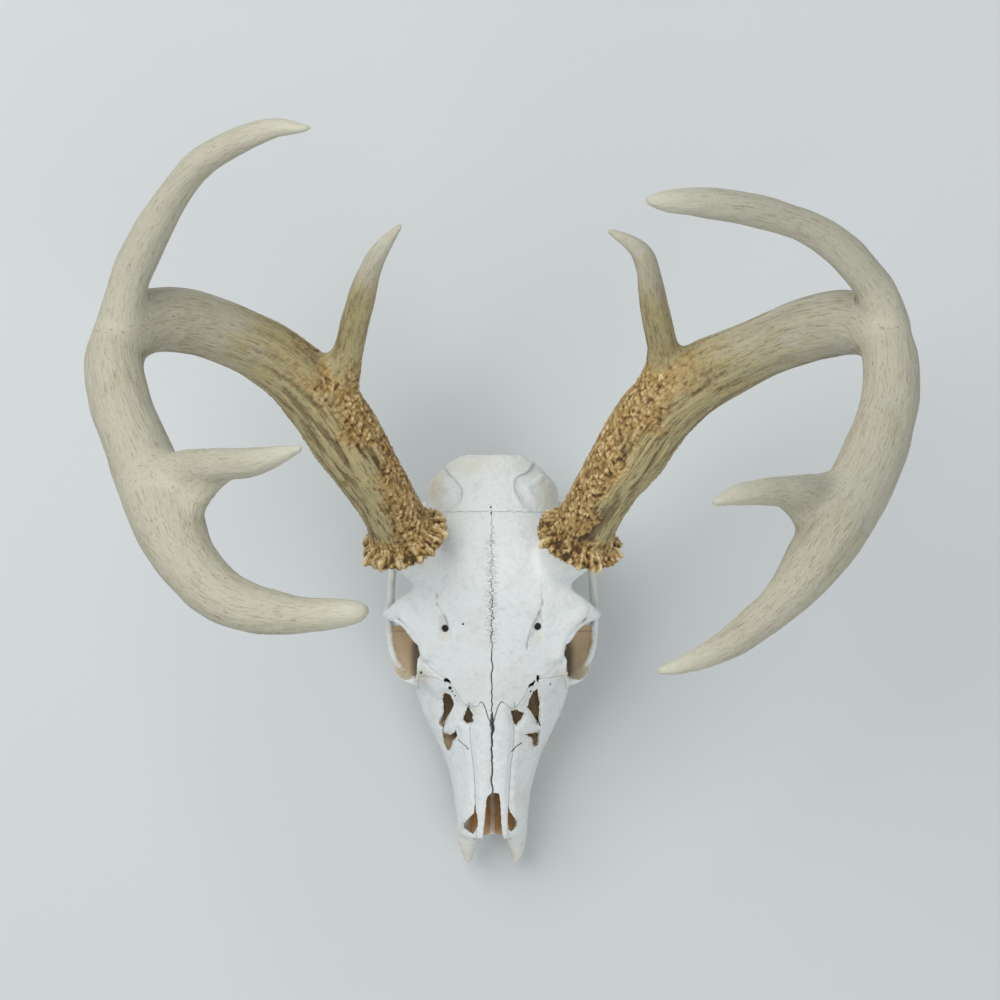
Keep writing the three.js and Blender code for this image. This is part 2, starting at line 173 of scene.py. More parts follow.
# ------------------------------------------------------------------ clay
class Clay:
    """A closed mesh in millimetres that is joined, carved, smoothed and sculpted like clay."""

    def __init__(self, name: str) -> None:
        """Starts an empty lump with the given name."""
        self.name = name
        self.object = bpy.data.objects.new(name, bpy.data.meshes.new(name))
        bpy.context.scene.collection.objects.link(self.object)

    @property
    def mesh(self) -> bpy.types.Mesh:
        """The lump's mesh."""
        return self.object.data

    @property
    def points(self) -> Points:
        """Places of all vertices, one row each."""
        flat = np.empty(len(self.mesh.vertices) * 3, np.float32)
        self.mesh.vertices.foreach_get("co", flat)
        return flat.reshape(-1, 3).astype(float)

    @points.setter
    def points(self, places: Points) -> None:
        """Moves all vertices."""
        self.mesh.vertices.foreach_set("co", places.astype(np.float32).ravel())
        self.mesh.update()

    @property
    def normals(self) -> Points:
        """Outward directions of all vertices, one row each."""
        flat = np.empty(len(self.mesh.vertices) * 3, np.float32)
        self.mesh.vertex_normals.foreach_get("vector", flat)
        return flat.reshape(-1, 3).astype(float)

    def add(self, part: bmesh.types.BMesh) -> Clay:
        """Adds a closed shape to the lump, and frees it."""
        part.from_mesh(self.mesh)
        part.to_mesh(self.mesh)
        part.free()
        return self

    def modify(self, kind: str, **settings: Any) -> Clay:
        """Applies one modifier.

        Args:
            kind: the modifier's type.
            **settings: its properties.

        Returns:
            The lump.
        """
        modifier = self.object.modifiers.new(kind.lower(), kind)
        for key, value in settings.items():
            setattr(modifier, key, value)
        graph = bpy.context.evaluated_depsgraph_get()
        worked = bpy.data.meshes.new_from_object(self.object.evaluated_get(graph))
        self.object.modifiers.clear()
        old = self.object.data
        self.object.data = worked
        bpy.data.meshes.remove(old)
        return self

    def remesh(self, voxel: float) -> Clay:
        """Melts everything in the lump into one even skin."""
        return self.modify("REMESH", mode="VOXEL", voxel_size=voxel)

    def smooth(self, rounds: int, factor: float = 0.5) -> Clay:
        """Rounds off edges and joins."""
        return self.modify("SMOOTH", factor=factor, iterations=rounds)

    def smooth_where(self, weights: Points, rounds: int) -> Clay:
        """Rounds off the places that have a weight above 0."""
        group = self.object.vertex_groups.new(name="soft")
        for index in np.flatnonzero(weights > 0.02):
            group.add([int(index)], float(weights[index]), "REPLACE")
        self.modify("SMOOTH", factor=0.5, iterations=rounds, vertex_group="soft")
        self.object.vertex_groups.clear()
        return self

    def carve(self, tool: Clay) -> Clay:
        """Cuts another lump out of this one, and removes that lump."""
        self.modify("BOOLEAN", operation="DIFFERENCE", object=tool.object, solver="MANIFOLD")
        tool.remove()
        return self

    def parts(self) -> list[Clay]:
        """Splits the lump into its loose parts; the lump itself becomes one of them."""
        view = bpy.context.view_layer
        for other in view.objects:
            other.select_set(False)
        view.objects.active = self.object
        self.object.select_set(True)
        bpy.ops.mesh.separate(type="LOOSE")
        found = []
        for item in [item for item in view.objects if item.select_get()]:
            part = Clay.__new__(Clay)
            part.name = item.name
            part.object = item
            found.append(part)
        return found

    def take(self, other: Clay) -> Clay:
        """Adds another lump to this one, and removes that lump."""
        part = bmesh.new()
        part.from_mesh(other.mesh)
        other.remove()
        return self.add(part)

    def push(self, amount: Points) -> Clay:
        """Moves the surface in or out by an amount in millimetres at each vertex."""
        self.points = self.points + self.normals * amount[:, None]
        return self

    def remove(self) -> None:
        """Deletes the lump."""
        mesh = self.object.data
        bpy.data.objects.remove(self.object)
        bpy.data.meshes.remove(mesh)


def ball(at: Sequence[float], size: Sequence[float], detail: int = 24) -> bmesh.types.BMesh:
    """A ball stretched to three half sizes.

    Args:
        at: its middle.
        size: its half sizes.
        detail: facets around it.

    Returns:
        A closed mesh.
    """
    part = bmesh.new()
    place = Matrix.Translation(at) @ Matrix.Diagonal((*size, 1))
    bmesh.ops.create_uvsphere(part, u_segments=detail, v_segments=detail // 2, radius=1, matrix=place)
    return part


def tube(ring: Callable[[Points, Points], Points], rings: int, sides: int) -> bmesh.types.BMesh:
    """A closed skin whose rings follow a line.

    Args:
        ring: gives the places for arrays of t, from 0 to 1 along the line, and of the angle.
        rings: spans along the line.
        sides: facets around it.

    Returns:
        A closed mesh.
    """
    part = bmesh.new()
    bmesh.ops.create_grid(part, x_segments=sides, y_segments=rings, size=1)
    flat = np.array([v.co[:] for v in part.verts])
    places = ring((flat[:, 1] + 1) / 2, (flat[:, 0] + 1) * math.pi)
    for vertex, place in zip(part.verts, places):
        vertex.co = place
    bmesh.ops.remove_doubles(part, verts=part.verts, dist=1e-4)
    open_edges = [edge for edge in part.edges if edge.is_boundary]
    bmesh.ops.holes_fill(part, edges=open_edges, sides=0)
    bmesh.ops.recalc_face_normals(part, faces=part.faces)
    return part


def cross_frames(spine: Points, up: Sequence[float]) -> tuple[Points, Points, Points]:
    """Directions along and across a line that turn as little as they can.

    Args:
        spine: places along the line.
        up: a first guess at the upright direction.

    Returns:
        The directions along, upright and sideways at each place.
    """
    along = np.gradient(spine, axis=0)
    along /= np.linalg.norm(along, axis=1)[:, None]
    upright = np.empty_like(along)
    current = np.asarray(up, float)
    for i, direction in enumerate(along):
        current = current - direction * (current @ direction)
        current /= np.linalg.norm(current)
        upright[i] = current
    return along, upright, np.cross(along, upright)


@dataclass(frozen=True)
class Bar:
    """A rod of oval section: rows of x, y, z, half width and half height in millimetres."""

    rows: tuple[tuple[float, float, float, float, float], ...]
    up: tuple[float, float, float] = (0, 0, 1)
    closed_ends: bool = True

    def build(self, side: int = 1, rings: int = 40, sides: int = 20) -> bmesh.types.BMesh:
        """Makes the rod on one side of the midline.

        Args:
            side: 1 for the animal's left and -1 for its right.
            rings: spans along the rod.
            sides: facets around it.

        Returns:
            A closed mesh.
        """
        rows = np.array(self.rows)
        rows[:, 0] *= side
        levels = np.linspace(0, 1, rings + 1)
        values = run_through(rows, levels)
        _, upright, sideways = cross_frames(values[:, :3], self.up)
        cap = np.sqrt(np.clip(1 - (2 * levels - 1) ** 24, 0.02, 1)) if self.closed_ends else 1 + 0 * levels

        def ring(t: Points, angle: Points) -> Points:
            """Places of one rod's skin."""
            i = np.rint(t * rings).astype(int)
            out = (np.cos(angle) * values[i, 3] * cap[i])[:, None] * sideways[i]
            rise = (np.sin(angle) * values[i, 4] * cap[i])[:, None] * upright[i]
            return values[i, :3] + out + rise

        return tube(ring, rings, sides)


@dataclass(frozen=True)
class Section:
    """One cross-section of the skull, all in millimetres.

    The half width is at the level wide; roof and keel say how square the halves above and below
    it are: 1 is a straight-sided wedge, 2 an ellipse, more is boxier.
    """

    y: float
    half: float
    top: float
    wide: float
    low: float
    roof: float
    keel: float


def section_body(sections: Sequence[Section], rings: int = 120, sides: int = 96) -> bmesh.types.BMesh:
    """A body through cross-sections.

    Args:
        sections: the cross-sections from back to front.
        rings: spans along it.
        sides: facets around it.

    Returns:
        A closed mesh.
    """
    rows = [(s.y, s.half, s.top, s.wide, s.low, s.roof, s.keel) for s in sections]

    def ring(t: Points, angle: Points) -> Points:
        """Places of the body's skin."""
        y, half, top, wide, low, roof, keel = run_through(rows, t).T
        out, up = np.cos(angle), np.sin(angle)
        power = 2 / np.where(up > 0, roof, keel)
        reach = np.where(up > 0, top - wide, wide - low)
        x = half * np.sign(out) * np.abs(out) ** power
        z = wide + reach * np.sign(up) * np.abs(up) ** power
        return np.stack([x, y, z], axis=1)

    return tube(ring, rings, sides)


# ------------------------------------------------------------------ shader expressions
class Value:
    """A number socket of a material, with arithmetic that adds Math nodes."""

    def __init__(self, finish: Shader, socket: bpy.types.NodeSocket) -> None:
        """Wraps a socket."""
        self.finish = finish
        self.socket = socket

    def _math(self, operation: str, *values: Value | float) -> Value:
        """Adds one Math node and returns its result."""
        inputs = dict(enumerate(values))
        node = self.finish.node("ShaderNodeMath", {"operation": operation}, inputs)
        return Value(self.finish, node.outputs[0])

    def __add__(self, other: Value | float) -> Value:
        """Sum."""
        return self._math("ADD", self, other)

    def __mul__(self, other: Value | float) -> Value:
        """Product."""
        return self._math("MULTIPLY", self, other)

    def __sub__(self, other: Value | float) -> Value:
        """Difference."""
        return self._math("SUBTRACT", self, other)

    def __radd__(self, other: float) -> Value:
        """Sum with a number."""
        return self._math("ADD", other, self)

    def __rmul__(self, other: float) -> Value:
        """Product with a number."""
        return self._math("MULTIPLY", other, self)

    def __rsub__(self, other: float) -> Value:
        """Difference from a number."""
        return self._math("SUBTRACT", other, self)

    def __truediv__(self, other: Value | float) -> Value:
        """Quotient."""
        return self._math("DIVIDE", self, other)

    def __pow__(self, other: Value | float) -> Value:
        """Power."""
        return self._math("POWER", self, other)

    def between(self, low: float, high: float) -> Value:
        """Rises smoothly from 0 at low to 1 at high."""
        inputs = {"Value": self, "From Min": low, "From Max": high}
        settings = {"interpolation_type": "SMOOTHSTEP"}
        node = self.finish.node("ShaderNodeMapRange", settings, inputs)
        return Value(self.finish, node.outputs["Result"])


Colour = tuple[float, float, float]


class Shader:
    """A material under construction."""

    def __init__(self, name: str) -> None:
        """Starts a material with an empty node tree."""
        self.material = bpy.data.materials.new(name)
        self.material.use_nodes = True
        self.tree = self.material.node_tree
        self.tree.nodes.clear()

    def node(self, kind: str, settings: dict[str, Any], inputs: dict[Any, Any]) -> bpy.types.Node:
        """Adds a node.

        Args:
            kind: the node's type.
            settings: its properties, set before its sockets.
            inputs: values or links for its sockets, by name or index.

        Returns:
            The node.
        """
        node = self.tree.nodes.new(kind)
        for key, value in settings.items():
            setattr(node, key, value)
        for key, value in inputs.items():
            socket = node.inputs[key]
            if isinstance(value, Value):
                value = value.socket
            if isinstance(value, bpy.types.NodeSocket):
                self.tree.links.new(value, socket)
            elif isinstance(value, tuple) and len(value) == 3 and socket.type == "RGBA":
                socket.default_value = (*value, 1.0)
            else:
                socket.default_value = value
        return node

    def attribute(self, name: str) -> Value:
        """A number stored on the mesh."""
        return Value(self, self.node("ShaderNodeAttribute", {"attribute_name": name}, {}).outputs["Fac"])

    def vector(self, name: str) -> bpy.types.NodeSocket:
        """A direction or place stored on the mesh."""
        return self.node("ShaderNodeAttribute", {"attribute_name": name}, {}).outputs["Vector"]

    def place(self) -> bpy.types.NodeSocket:
        """The place on the object, in metres."""
        return self.node("ShaderNodeTexCoord", {}, {}).outputs["Object"]

    def stretch(self, vector: bpy.types.NodeSocket, scale: Sequence[float]) -> bpy.types.NodeSocket:
        """A place scaled by a different amount along each axis."""
        inputs = {"Vector": vector, "Scale": tuple(scale)}
        return self.node("ShaderNodeMapping", {}, inputs).outputs["Vector"]

    def clouds(self, vector: bpy.types.NodeSocket, scale: float, detail: float = 4.0) -> Value:
        """Noise of 0 to 1."""
        inputs = {"Vector": vector, "Scale": scale, "Detail": detail, "Roughness": 0.6}
        return Value(self, self.node("ShaderNodeTexNoise", {}, inputs).outputs["Fac"])

    def cells(self, vector: bpy.types.NodeSocket, scale: float) -> Value:
        """Distance from the middles of scattered cells."""
        inputs = {"Vector": vector, "Scale": scale}
        return Value(self, self.node("ShaderNodeTexVoronoi", {}, inputs).outputs["Distance"])

    def mix(self, factor: Value | float, first: Any, second: Any) -> bpy.types.NodeSocket:
        """A blend of two colours."""
        node = self.node("ShaderNodeMix", {"data_type": "RGBA"}, {0: factor, 6: first, 7: second})
        return node.outputs[2]

    def finish(self, colour: Any, roughness: Value | float, height: Value, relief: float, **constants: float) -> None:
        """Adds the surface shader.

        Args:
            colour: base colour, a value or a link.
            roughness: surface roughness.
            height: relief of 0 to 1.
            relief: depth in metres that a height of 1 stands for.
            **constants: other sockets of the surface shader, with spaces as underscores.
        """
        raised = self.node("ShaderNodeBump", {}, {"Height": height, "Distance": relief, "Strength": 1.0})
        inputs = {"Base Color": colour, "Roughness": roughness, "Normal": raised.outputs["Normal"]}
        inputs.update({key.replace("_", " "): value for key, value in constants.items()})
        surface = self.node("ShaderNodeBsdfPrincipled", {}, inputs)
        self.node("ShaderNodeOutputMaterial", {}, {"Surface": surface.outputs["BSDF"]})


@dataclass(frozen=True)
class BoneFinish:
    """Bleached bone: chalky white with cream stains and brown hollows, with painted shade in creases, openings and
    orbits.
    """

    white: Colour = (0.80, 0.82, 0.81)
    cream: Colour = (0.68, 0.63, 0.50)
    grey: Colour = (0.42, 0.43, 0.42)
    tan: Colour = (0.56, 0.41, 0.25)
    amber: Colour = (0.42, 0.20, 0.045)
    dark: Colour = (0.055, 0.038, 0.024)

    def make(self) -> bpy.types.Material:
        """Builds the material, which reads the numbers stain and ink from the mesh."""
        shader = Shader("bleached_bone")
        place = shader.place()
        stain = shader.attribute("stain")
        ink = shader.attribute("ink")
        clouds = shader.clouds(place, 60.0)
        fine = shader.clouds(place, 420.0, 5.0)
        pores = shader.cells(place, 900.0)
        broad = shader.clouds(place, 22.0, 3.0)
        veil = clouds.between(0.45, 0.75) * 0.22 + broad.between(0.45, 0.7) * 0.22 + stain * 1.2
        base = shader.mix(veil.between(0.0, 0.9), self.white, self.cream)
        base = shader.mix(fine.between(0.52, 0.75) * 0.24, base, self.grey)
        mottle = shader.clouds(place, 170.0, 6.0)
        base = shader.mix(mottle.between(0.50, 0.72) * 0.22, base, self.grey)
        # The tan mix is stain, and also painted shade in the orbits and on the walls of openings.
        base = shader.mix((stain + fine * 0.3 - 0.15).between(0.45, 1.05), base, self.tan)
        # Amber in the nasal cavity: the unbleached inside, deepened as painted shade.
        base = shader.mix(shader.attribute("warm"), base, self.amber)
        # The dark mix is painted shade: in creases, deep in openings and under the orbit rims.
        base = shader.mix(ink, base, self.dark)
        threads = shader.clouds(shader.stretch(place, (170, 620, 170)), 1.0, 5.0)
        marks = (1 - (threads - 0.5) * (threads - 0.5) * 2200).between(0.0, 1.0)
        base = shader.mix(marks * shader.attribute("seam") * 0.75, base, self.dark)
        height = fine * 0.7 + pores.between(0.0, 0.35) * 0.3 + clouds * 0.8 + mottle * 0.8
        rough = 0.62 + clouds * 0.2
        shader.finish(base, rough, height, 0.0006, Subsurface_Weight=0.0, Specular_IOR_Level=0.35)
        return shader.material


@dataclass(frozen=True)
class ToothFinish:
    """Cheek teeth: ivory enamel with brown stain between the cusps."""

    enamel: Colour = (0.74, 0.69, 0.56)
    stain: Colour = (0.16, 0.10, 0.05)

    def make(self) -> bpy.types.Material:
        """Builds the material, which reads the number ink from the mesh."""
        shader = Shader("tooth_enamel")
        place = shader.place()
        clouds = shader.clouds(shader.stretch(place, (1, 1, 0.35)), 260.0)
        ink = shader.attribute("ink")
        base = shader.mix((clouds.between(0.5, 0.8) * 0.5 + ink).between(0.1, 1.0), self.enamel, self.stain)
        shader.finish(base, 0.28 + clouds * 0.15, clouds, 0.0002)
        return shader.material


@dataclass(frozen=True)
class AntlerFinish:
    """Antler: pearled orange-brown at the burr, olive tan in the middle and ivory toward the tips."""

    ivory: Colour = (0.50, 0.47, 0.365)
    olive: Colour = (0.44, 0.37, 0.185)
    amber: Colour = (0.37, 0.22, 0.062)
    bead: Colour = (0.78, 0.63, 0.35)
    pit: Colour = (0.075, 0.038, 0.013)
    brown: Colour = (0.17, 0.10, 0.040)
    tip: Colour = (0.64, 0.61, 0.49)

    def make(self) -> bpy.types.Material:
        """Builds the material, which reads run, rough, olive, height, shade and polish."""
        shader = Shader("antler_horn")
        run = shader.vector("run")
        rough = shader.attribute("rough")
        olive = shader.attribute("olive")
        height = shader.attribute("height")
        shade = shader.attribute("shade")
        polish = shader.attribute("polish")
        place = shader.place()
        clear = shader.attribute("clear")
        mixed = 1 - clear
        streak = shader.clouds(shader.stretch(run, (1, 1, 0.14)), 0.5, 6.0) * clear
        streak = streak + shader.clouds(place, 150.0, 6.0) * mixed
        thread = shader.clouds(shader.stretch(run, (1, 1, 0.06)), 1.5, 4.0) * clear
        thread = thread + shader.clouds(place, 500.0, 4.0) * mixed
        patch = shader.clouds(place, 34.0)
        fleck = shader.clouds(place, 330.0, 5.0)
        crumb = shader.clouds(place, 900.0, 3.0)
        body = shader.mix((olive + (streak - 0.5) * 1.3).between(0.1, 1.0), self.ivory, self.olive)
        # Brown from the painted shade stored on the mesh, together with brown patches and streaks of staining.
        stain_and_shade = (shade * 1.3 + patch * 1.1 + (streak - 0.5) * 1.3 - 0.78).between(0.0, 0.8)
        body = shader.mix(stain_and_shade * 0.8, body, self.brown)
        nicks = shader.clouds(shader.stretch(run, (1, 1, 0.3)), 0.8, 3.0).between(0.64, 0.70)
        body = shader.mix(nicks * clear * 0.55, body, self.brown)
        # Bead tops lighter and furrows near black: the burr's own wear and staining, strengthened as painted highlight
        # and painted shade.
        crust = shader.mix((height + crumb * 0.5 - 0.25).between(0.45, 0.95), self.amber, self.bead)
        base = shader.mix((rough + (fleck - 0.5) * 0.7).between(0.1, 0.95), body, crust)
        furrow = (1 - height + (fleck - 0.5) * 0.35).between(0.42, 0.75)
        base = shader.mix(furrow * (rough * 0.85 + olive * 0.6), base, self.pit)
        scratch = thread.between(0.53, 0.66) * (0.34 + olive * 0.5)
        base = shader.mix(scratch, base, self.brown)
        base = shader.mix(polish * 0.8, base, self.tip)
        relief = streak * 0.5 + thread * 0.5 + fleck * 0.4 + crumb * 0.2
        gloss = 0.60 - polish * 0.18 + rough * 0.12
        shader.finish(base, gloss, relief, 0.0009, Specular_IOR_Level=0.4)
        return shader.material


@dataclass(frozen=True)
class FloorFinish:
    """Plain pale floor."""

    grey: Colour = (0.62, 0.64, 0.64)

    def make(self) -> bpy.types.Material:
        """Builds the material."""
        shader = Shader("pale_floor")
        clouds = shader.clouds(shader.place(), 30.0)
        shader.finish(self.grey, 0.9, clouds, 0.0001)
        return shader.material


# ------------------------------------------------------------------ putting pieces in the frame
def store(mesh: bpy.types.Mesh, name: str, values: Points) -> None:
    """Stores a number or a direction for each vertex under a name."""
    kind, key = ("FLOAT", "value") if values.ndim == 1 else ("FLOAT_VECTOR", "vector")
    layer = mesh.attributes.new(name, kind, "POINT")
    layer.data.foreach_set(key, values.astype(np.float32).ravel())


def place_piece(clay: Clay, material: bpy.types.Material, nodes: Sequence[str]) -> bpy.types.Object:
    """Moves a finished lump into the frame and dresses it.

    Args:
        clay: the lump, in millimetres.
        material: its finish.
        nodes: the CAD nodes that it stands for.

    Returns:
        The piece.
    """
    clay.points = (clay.points - BOX_CENTRE) * MM
    clay.mesh.materials.clear()
    clay.mesh.materials.append(material)
    clay.mesh.polygons.foreach_set("use_smooth", np.ones(len(clay.mesh.polygons), bool))
    piece = clay.object
    piece.name = clay.name
    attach(piece, "root")
    if nodes:
        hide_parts(*nodes)
    LOG.info("%s: %d faces", clay.name, len(clay.mesh.polygons))
    return piece


# ------------------------------------------------------------------ lines and outlines seen from above
def ragged(line: Sequence[Sequence[float]], step: float, amount: float, closed: bool = False) -> Points:
    """A line in plan, divided finely and made uneven.

    Args:
        line: its corners.
        step: spacing of the new points in millimetres.
        amount: how far they stray in millimetres.
        closed: whether the last corner joins the first.

    Returns:
        The new points.
    """
    corners = np.asarray(line, float)
    ends = np.vstack([corners, corners[:1]]) if closed else corners
    rows = []
    for start, end in zip(ends[:-1], ends[1:]):
        count = max(1, int(np.linalg.norm(end - start) / step))
        rows.append(start + (end - start) * (np.arange(count) / count)[:, None])
    if not closed:
        rows.append(ends[-1:])
    plan = np.vstack(rows)
    stray = [noise.noise_vector(Vector((x * 0.9, y * 0.9, 3.0)))[:2] for x, y in plan]
    return plan + amount * np.array(stray)


def line_distance(points: Points, line: Sequence[Sequence[float]], closed: bool = False) -> tuple[Points, Points]:
    """Distance in plan from points to a line.

    Args:
        points: places.
        line: the line's corners.
        closed: whether the last corner joins the first.

    Returns:
        The distance, and whether a point is inside the closed outline.
    """
    plan = points[:, :2]
    corners = np.asarray(line, float)[:, :2]
    ends = np.vstack([corners, corners[:1]])
    inside = np.zeros(len(plan), bool)
    best = np.full(len(plan), np.inf)
    count = len(corners) if closed else len(corners) - 1
    for start, end in zip(ends[:count], ends[1 : count + 1]):
        edge = end - start
        part = np.clip(((plan - start) @ edge) / max(edge @ edge, 1e-9), 0, 1)
        best = np.minimum(best, np.linalg.norm(plan - start - part[:, None] * edge, axis=1))
        if closed and abs(edge[1]) > 1e-9:
            crosses = (start[1] > plan[:, 1]) != (end[1] > plan[:, 1])
            at = start[0] + edge[0] * (plan[:, 1] - start[1]) / edge[1]
            inside ^= crosses & (plan[:, 0] < at)
    return best, inside


def curve(line: Sequence[Sequence[float]]) -> Points:
    """A smooth line in plan through some places."""
    return run_through(line, np.linspace(0, 1, 8 * len(line)))


def strip(places: Callable[[Points, Points], Points], count: int) -> bmesh.types.BMesh:
    """A thin closed sheet of four-cornered rings.

    Args:
        places: gives the corner places for arrays of ring numbers and corner numbers.
        count: how many rings it has.

    Returns:
        A closed mesh.
    """

    def ring(t: Points, angle: Points) -> Points:
        """Corners of the sheet."""
        return places(np.rint(t * (count - 1)).astype(int), np.rint(angle * 2 / math.pi).astype(int) % 4)

    return tube(ring, count - 1, 4)


def wall(path: Points, width: Points | float, low: Points | float, high: Points | float) -> bmesh.types.BMesh:
    """An upright sheet that follows a line seen from above.

    Args:
        path: places in plan.
        width: its thickness at each place.
        low: height of its lower edge.
        high: height of its upper edge.

    Returns:
        A closed mesh.
    """
    along = np.gradient(path, axis=0)
    along /= np.linalg.norm(along, axis=1)[:, None]
    across = np.column_stack([along[:, 1], -along[:, 0]])
    half, low, high = (np.zeros(len(path)) + value for value in (0.5 * np.asarray(width), low, high))

    def places(i: Points, corner: Points) -> Points:
        """Corners of the wall."""
        out = np.where((corner == 0) | (corner == 3), 1, -1) * half[i]
        return np.column_stack([path[i] + across[i] * out[:, None], np.where(corner < 2, high[i], low[i])])

    return strip(places, len(path))


def slab(y: Points, reach: Points, z: Points, thickness: float) -> bmesh.types.BMesh:
    """A level sheet across the midline.

    Args:
        y: places along the skull.
        reach: how far it goes to each side.
        z: its height at each place.
        thickness: its thickness.

    Returns:
        A closed mesh.
    """

    def places(i: Points, corner: Points) -> Points:
        """Corners of the slab."""
        x = np.where((corner == 0) | (corner == 3), 1, -1) * reach[i]
        return np.column_stack([x, y[i], z[i] + np.where(corner < 2, 0.5, -0.5) * thickness])

    return strip(places, len(y))


def prism(outline: Points, low: float, high: float) -> bmesh.types.BMesh:
    """An upright block.

    Args:
        outline: its outline in plan.
        low: height of its lower face.
        high: height of its upper face.

    Returns:
        A closed mesh.
    """
    part = bmesh.new()
    base = part.faces.new([part.verts.new((x, y, low)) for x, y in outline])
    grown = bmesh.ops.extrude_face_region(part, geom=[base])
    raised = [item for item in grown["geom"] if isinstance(item, bmesh.types.BMVert)]
    bmesh.ops.translate(part, verts=raised, vec=(0, 0, high - low))
    bmesh.ops.recalc_face_normals(part, faces=part.faces)
    return part


# ------------------------------------------------------------------ skull
@dataclass(frozen=True)
class Opening:
    """A broken opening in the roof: its outline in plan, and the depth to which it is open."""

    outline: tuple[tuple[float, float], ...]
    low: float
    high: float = 120.0
    fray: float = 0.7

    def edge(self) -> Points:
        """Its uneven edge in plan."""
        return ragged(self.outline, 1.0, self.fray, closed=True)


@dataclass(frozen=True)
class Hollow:
    """A rounded hollow: middle and half sizes in millimetres, and how brown it is inside."""

    at: tuple[float, float, float]
    size: tuple[float, float, float]
    stain: float = 0.0
    paired: bool = True

    def sides(self) -> tuple[int, ...]:
        """The sides that it is on."""
        return (-1, 1) if self.paired else (1,)

    def depth(self, points: Points, side: int) -> Points:
        """Relative distance from its middle: 1 on its skin."""
        middle = np.array(self.at) * (side, 1, 1)
        return np.linalg.norm((points - middle) / self.size, axis=1)


OPENINGS = (
    Opening(((-27.3, -112.8), (-24.5, -114.3), (-22.3, -119.3), (-23, -122.8), (-26.5, -128.3), (-29.4, -133.8),
             (-30.6, -132.8), (-28.4, -125.3), (-29, -119.3), (-28.5, -114.3)), 62),
    Opening(((-13.9, -120.8), (-11.4, -125.3), (-11.2, -130.3), (-14.3, -131.5), (-17.3, -129.3), (-15.9, -125.3)), 70),
    Opening(((-28.6, -139), (-24.5, -139.6), (-22.6, -138), (-21.5, -135.6), (-20.6, -139.6), (-23.6, -143.5),
             (-26.1, -148.5), (-27.8, -144.5)), 56),
    Opening(((26.4, -110.3), (27.8, -117.3), (27.8, -126.3), (27, -132.4), (23.9, -126.3), (20.7, -121.8),
             (22.4, -116.3), (24.4, -112.3)), 62),
    Opening(((11.3, -123.3), (14.8, -123.3), (18.9, -125.5), (16.9, -129.3), (14.3, -132.4), (11.9, -129.3)), 70),
    Opening(((19.4, -138.5), (27, -138), (27.8, -137.4), (26.4, -145.6), (24.9, -146), (23.9, -141.5)), 56),
    Opening(((-28, -104.4), (-26, -104), (-23.9, -106), (-24.3, -107.2), (-26.4, -105.9), (-28, -106.2)), 74, fray=1.1),
    Opening(((26.2, -102), (27.6, -102), (27.4, -106.6), (26.2, -106)), 74, fray=0.9),
    Opening(((21, -108.6), (24.6, -105.3), (25.2, -106.3), (22, -109.8)), 76, fray=0.9),
)
CRACKS = (
    (((-19.9, -141.8), (-16.9, -144.2), (-13.7, -147.4)), 0.7, 62.0),
    (((17.4, -143.4), (14.4, -145.4), (11.3, -148.6)), 0.7, 62.0),
    (((26.4, -129), (27.6, -131.3), (28.5, -134.2)), 0.8, 56.0),
    (((-28.9, -133.5), (-29.2, -136.5), (-28.6, -139.2)), 0.6, 56.0),
)
PORES = (
    (-27.1, -74.4, 2.1, 82.0),
    (26.5, -73.3, 2.1, 82.0),
    (-16.6, -71.6, 0.6, 98.0),
    (-24.5, -109.9, 1.1, 78.0),
    (-41.5, -101.0, 0.9, 78.0),
    (-0.6, -4.2, 0.55, 96.0),
    (-0.4, -7.6, 0.5, 96.0),
    (-23.2, -111.8, 0.5, 80.0),
    (-21.6, -114.6, 0.5, 80.0),
    (22.6, -112.0, 0.6, 80.0),
    (34.2, -107.8, 0.5, 80.0),
)
NASAL_MOUTH = ((-2.8, -175.8), (-1.5, -174.8), (0.8, -173.6), (4.3, -173.9), (5.3, -184), (5.6, -193.6), (6.5, -201),
               (7.5, -206), (-7, -206), (-5.4, -201), (-4.5, -191), (-3.5, -180.7))
NASAL_SLITS = (
    ((-10.3, -180.6), (-9.3, -186), (-8.4, -191.6), (-8.8, -195.6), (-11.4, -200), (-13.9, -199), (-17, -197),
     (-16.8, -193.4), (-14.2, -190.4), (-10.7, -186.5)),
    ((9.6, -182.2), (11.2, -186.4), (14.9, -192.6), (14.7, -195.2), (11.6, -198.4), (9.9, -197), (9.2, -191)),
)
LEFT_TEMPLE = ((26.5, 24), (21.5, 16.6), (15.2, 13.5), (13.3, 8.1), (15, 2.9), (19, -3.5), (28, -10.4), (35, -14))
RIGHT_TEMPLE = ((-29, 21), (-25.5, 15.5), (-21, 11), (-17.6, 5.8), (-18.3, -0.6), (-23, -5.2), (-31, -11), (-36, -14))
RIGHT_GROOVE = ((-31.6, -54), (-31.4, -61), (-26.9, -67.8), (-24.9, -74.4), (-22.3, -80.2))
LEFT_GROOVE = ((29.2, -49), (29, -60), (26.6, -66.5), (23.4, -73), (20.8, -81), (20.2, -86))
RIGHT_HOLLOW = ((-31.8, -58), (-26.6, -67.8), (-24.4, -74.4), (-21.8, -81), (-27, -84), (-32, -84), (-31.2, -70))
LEFT_HOLLOW = ((29.6, -58), (30.4, -70), (31, -84), (26, -86), (20.4, -84), (23.8, -73), (26.6, -66))
ORBIT_RIM = ((57.9, -66.7), (54.5, -67.9), (49.8, -71.9), (45.2, -77.1), (42.9, -81.8), (44.6, -89.3), (44, -102))
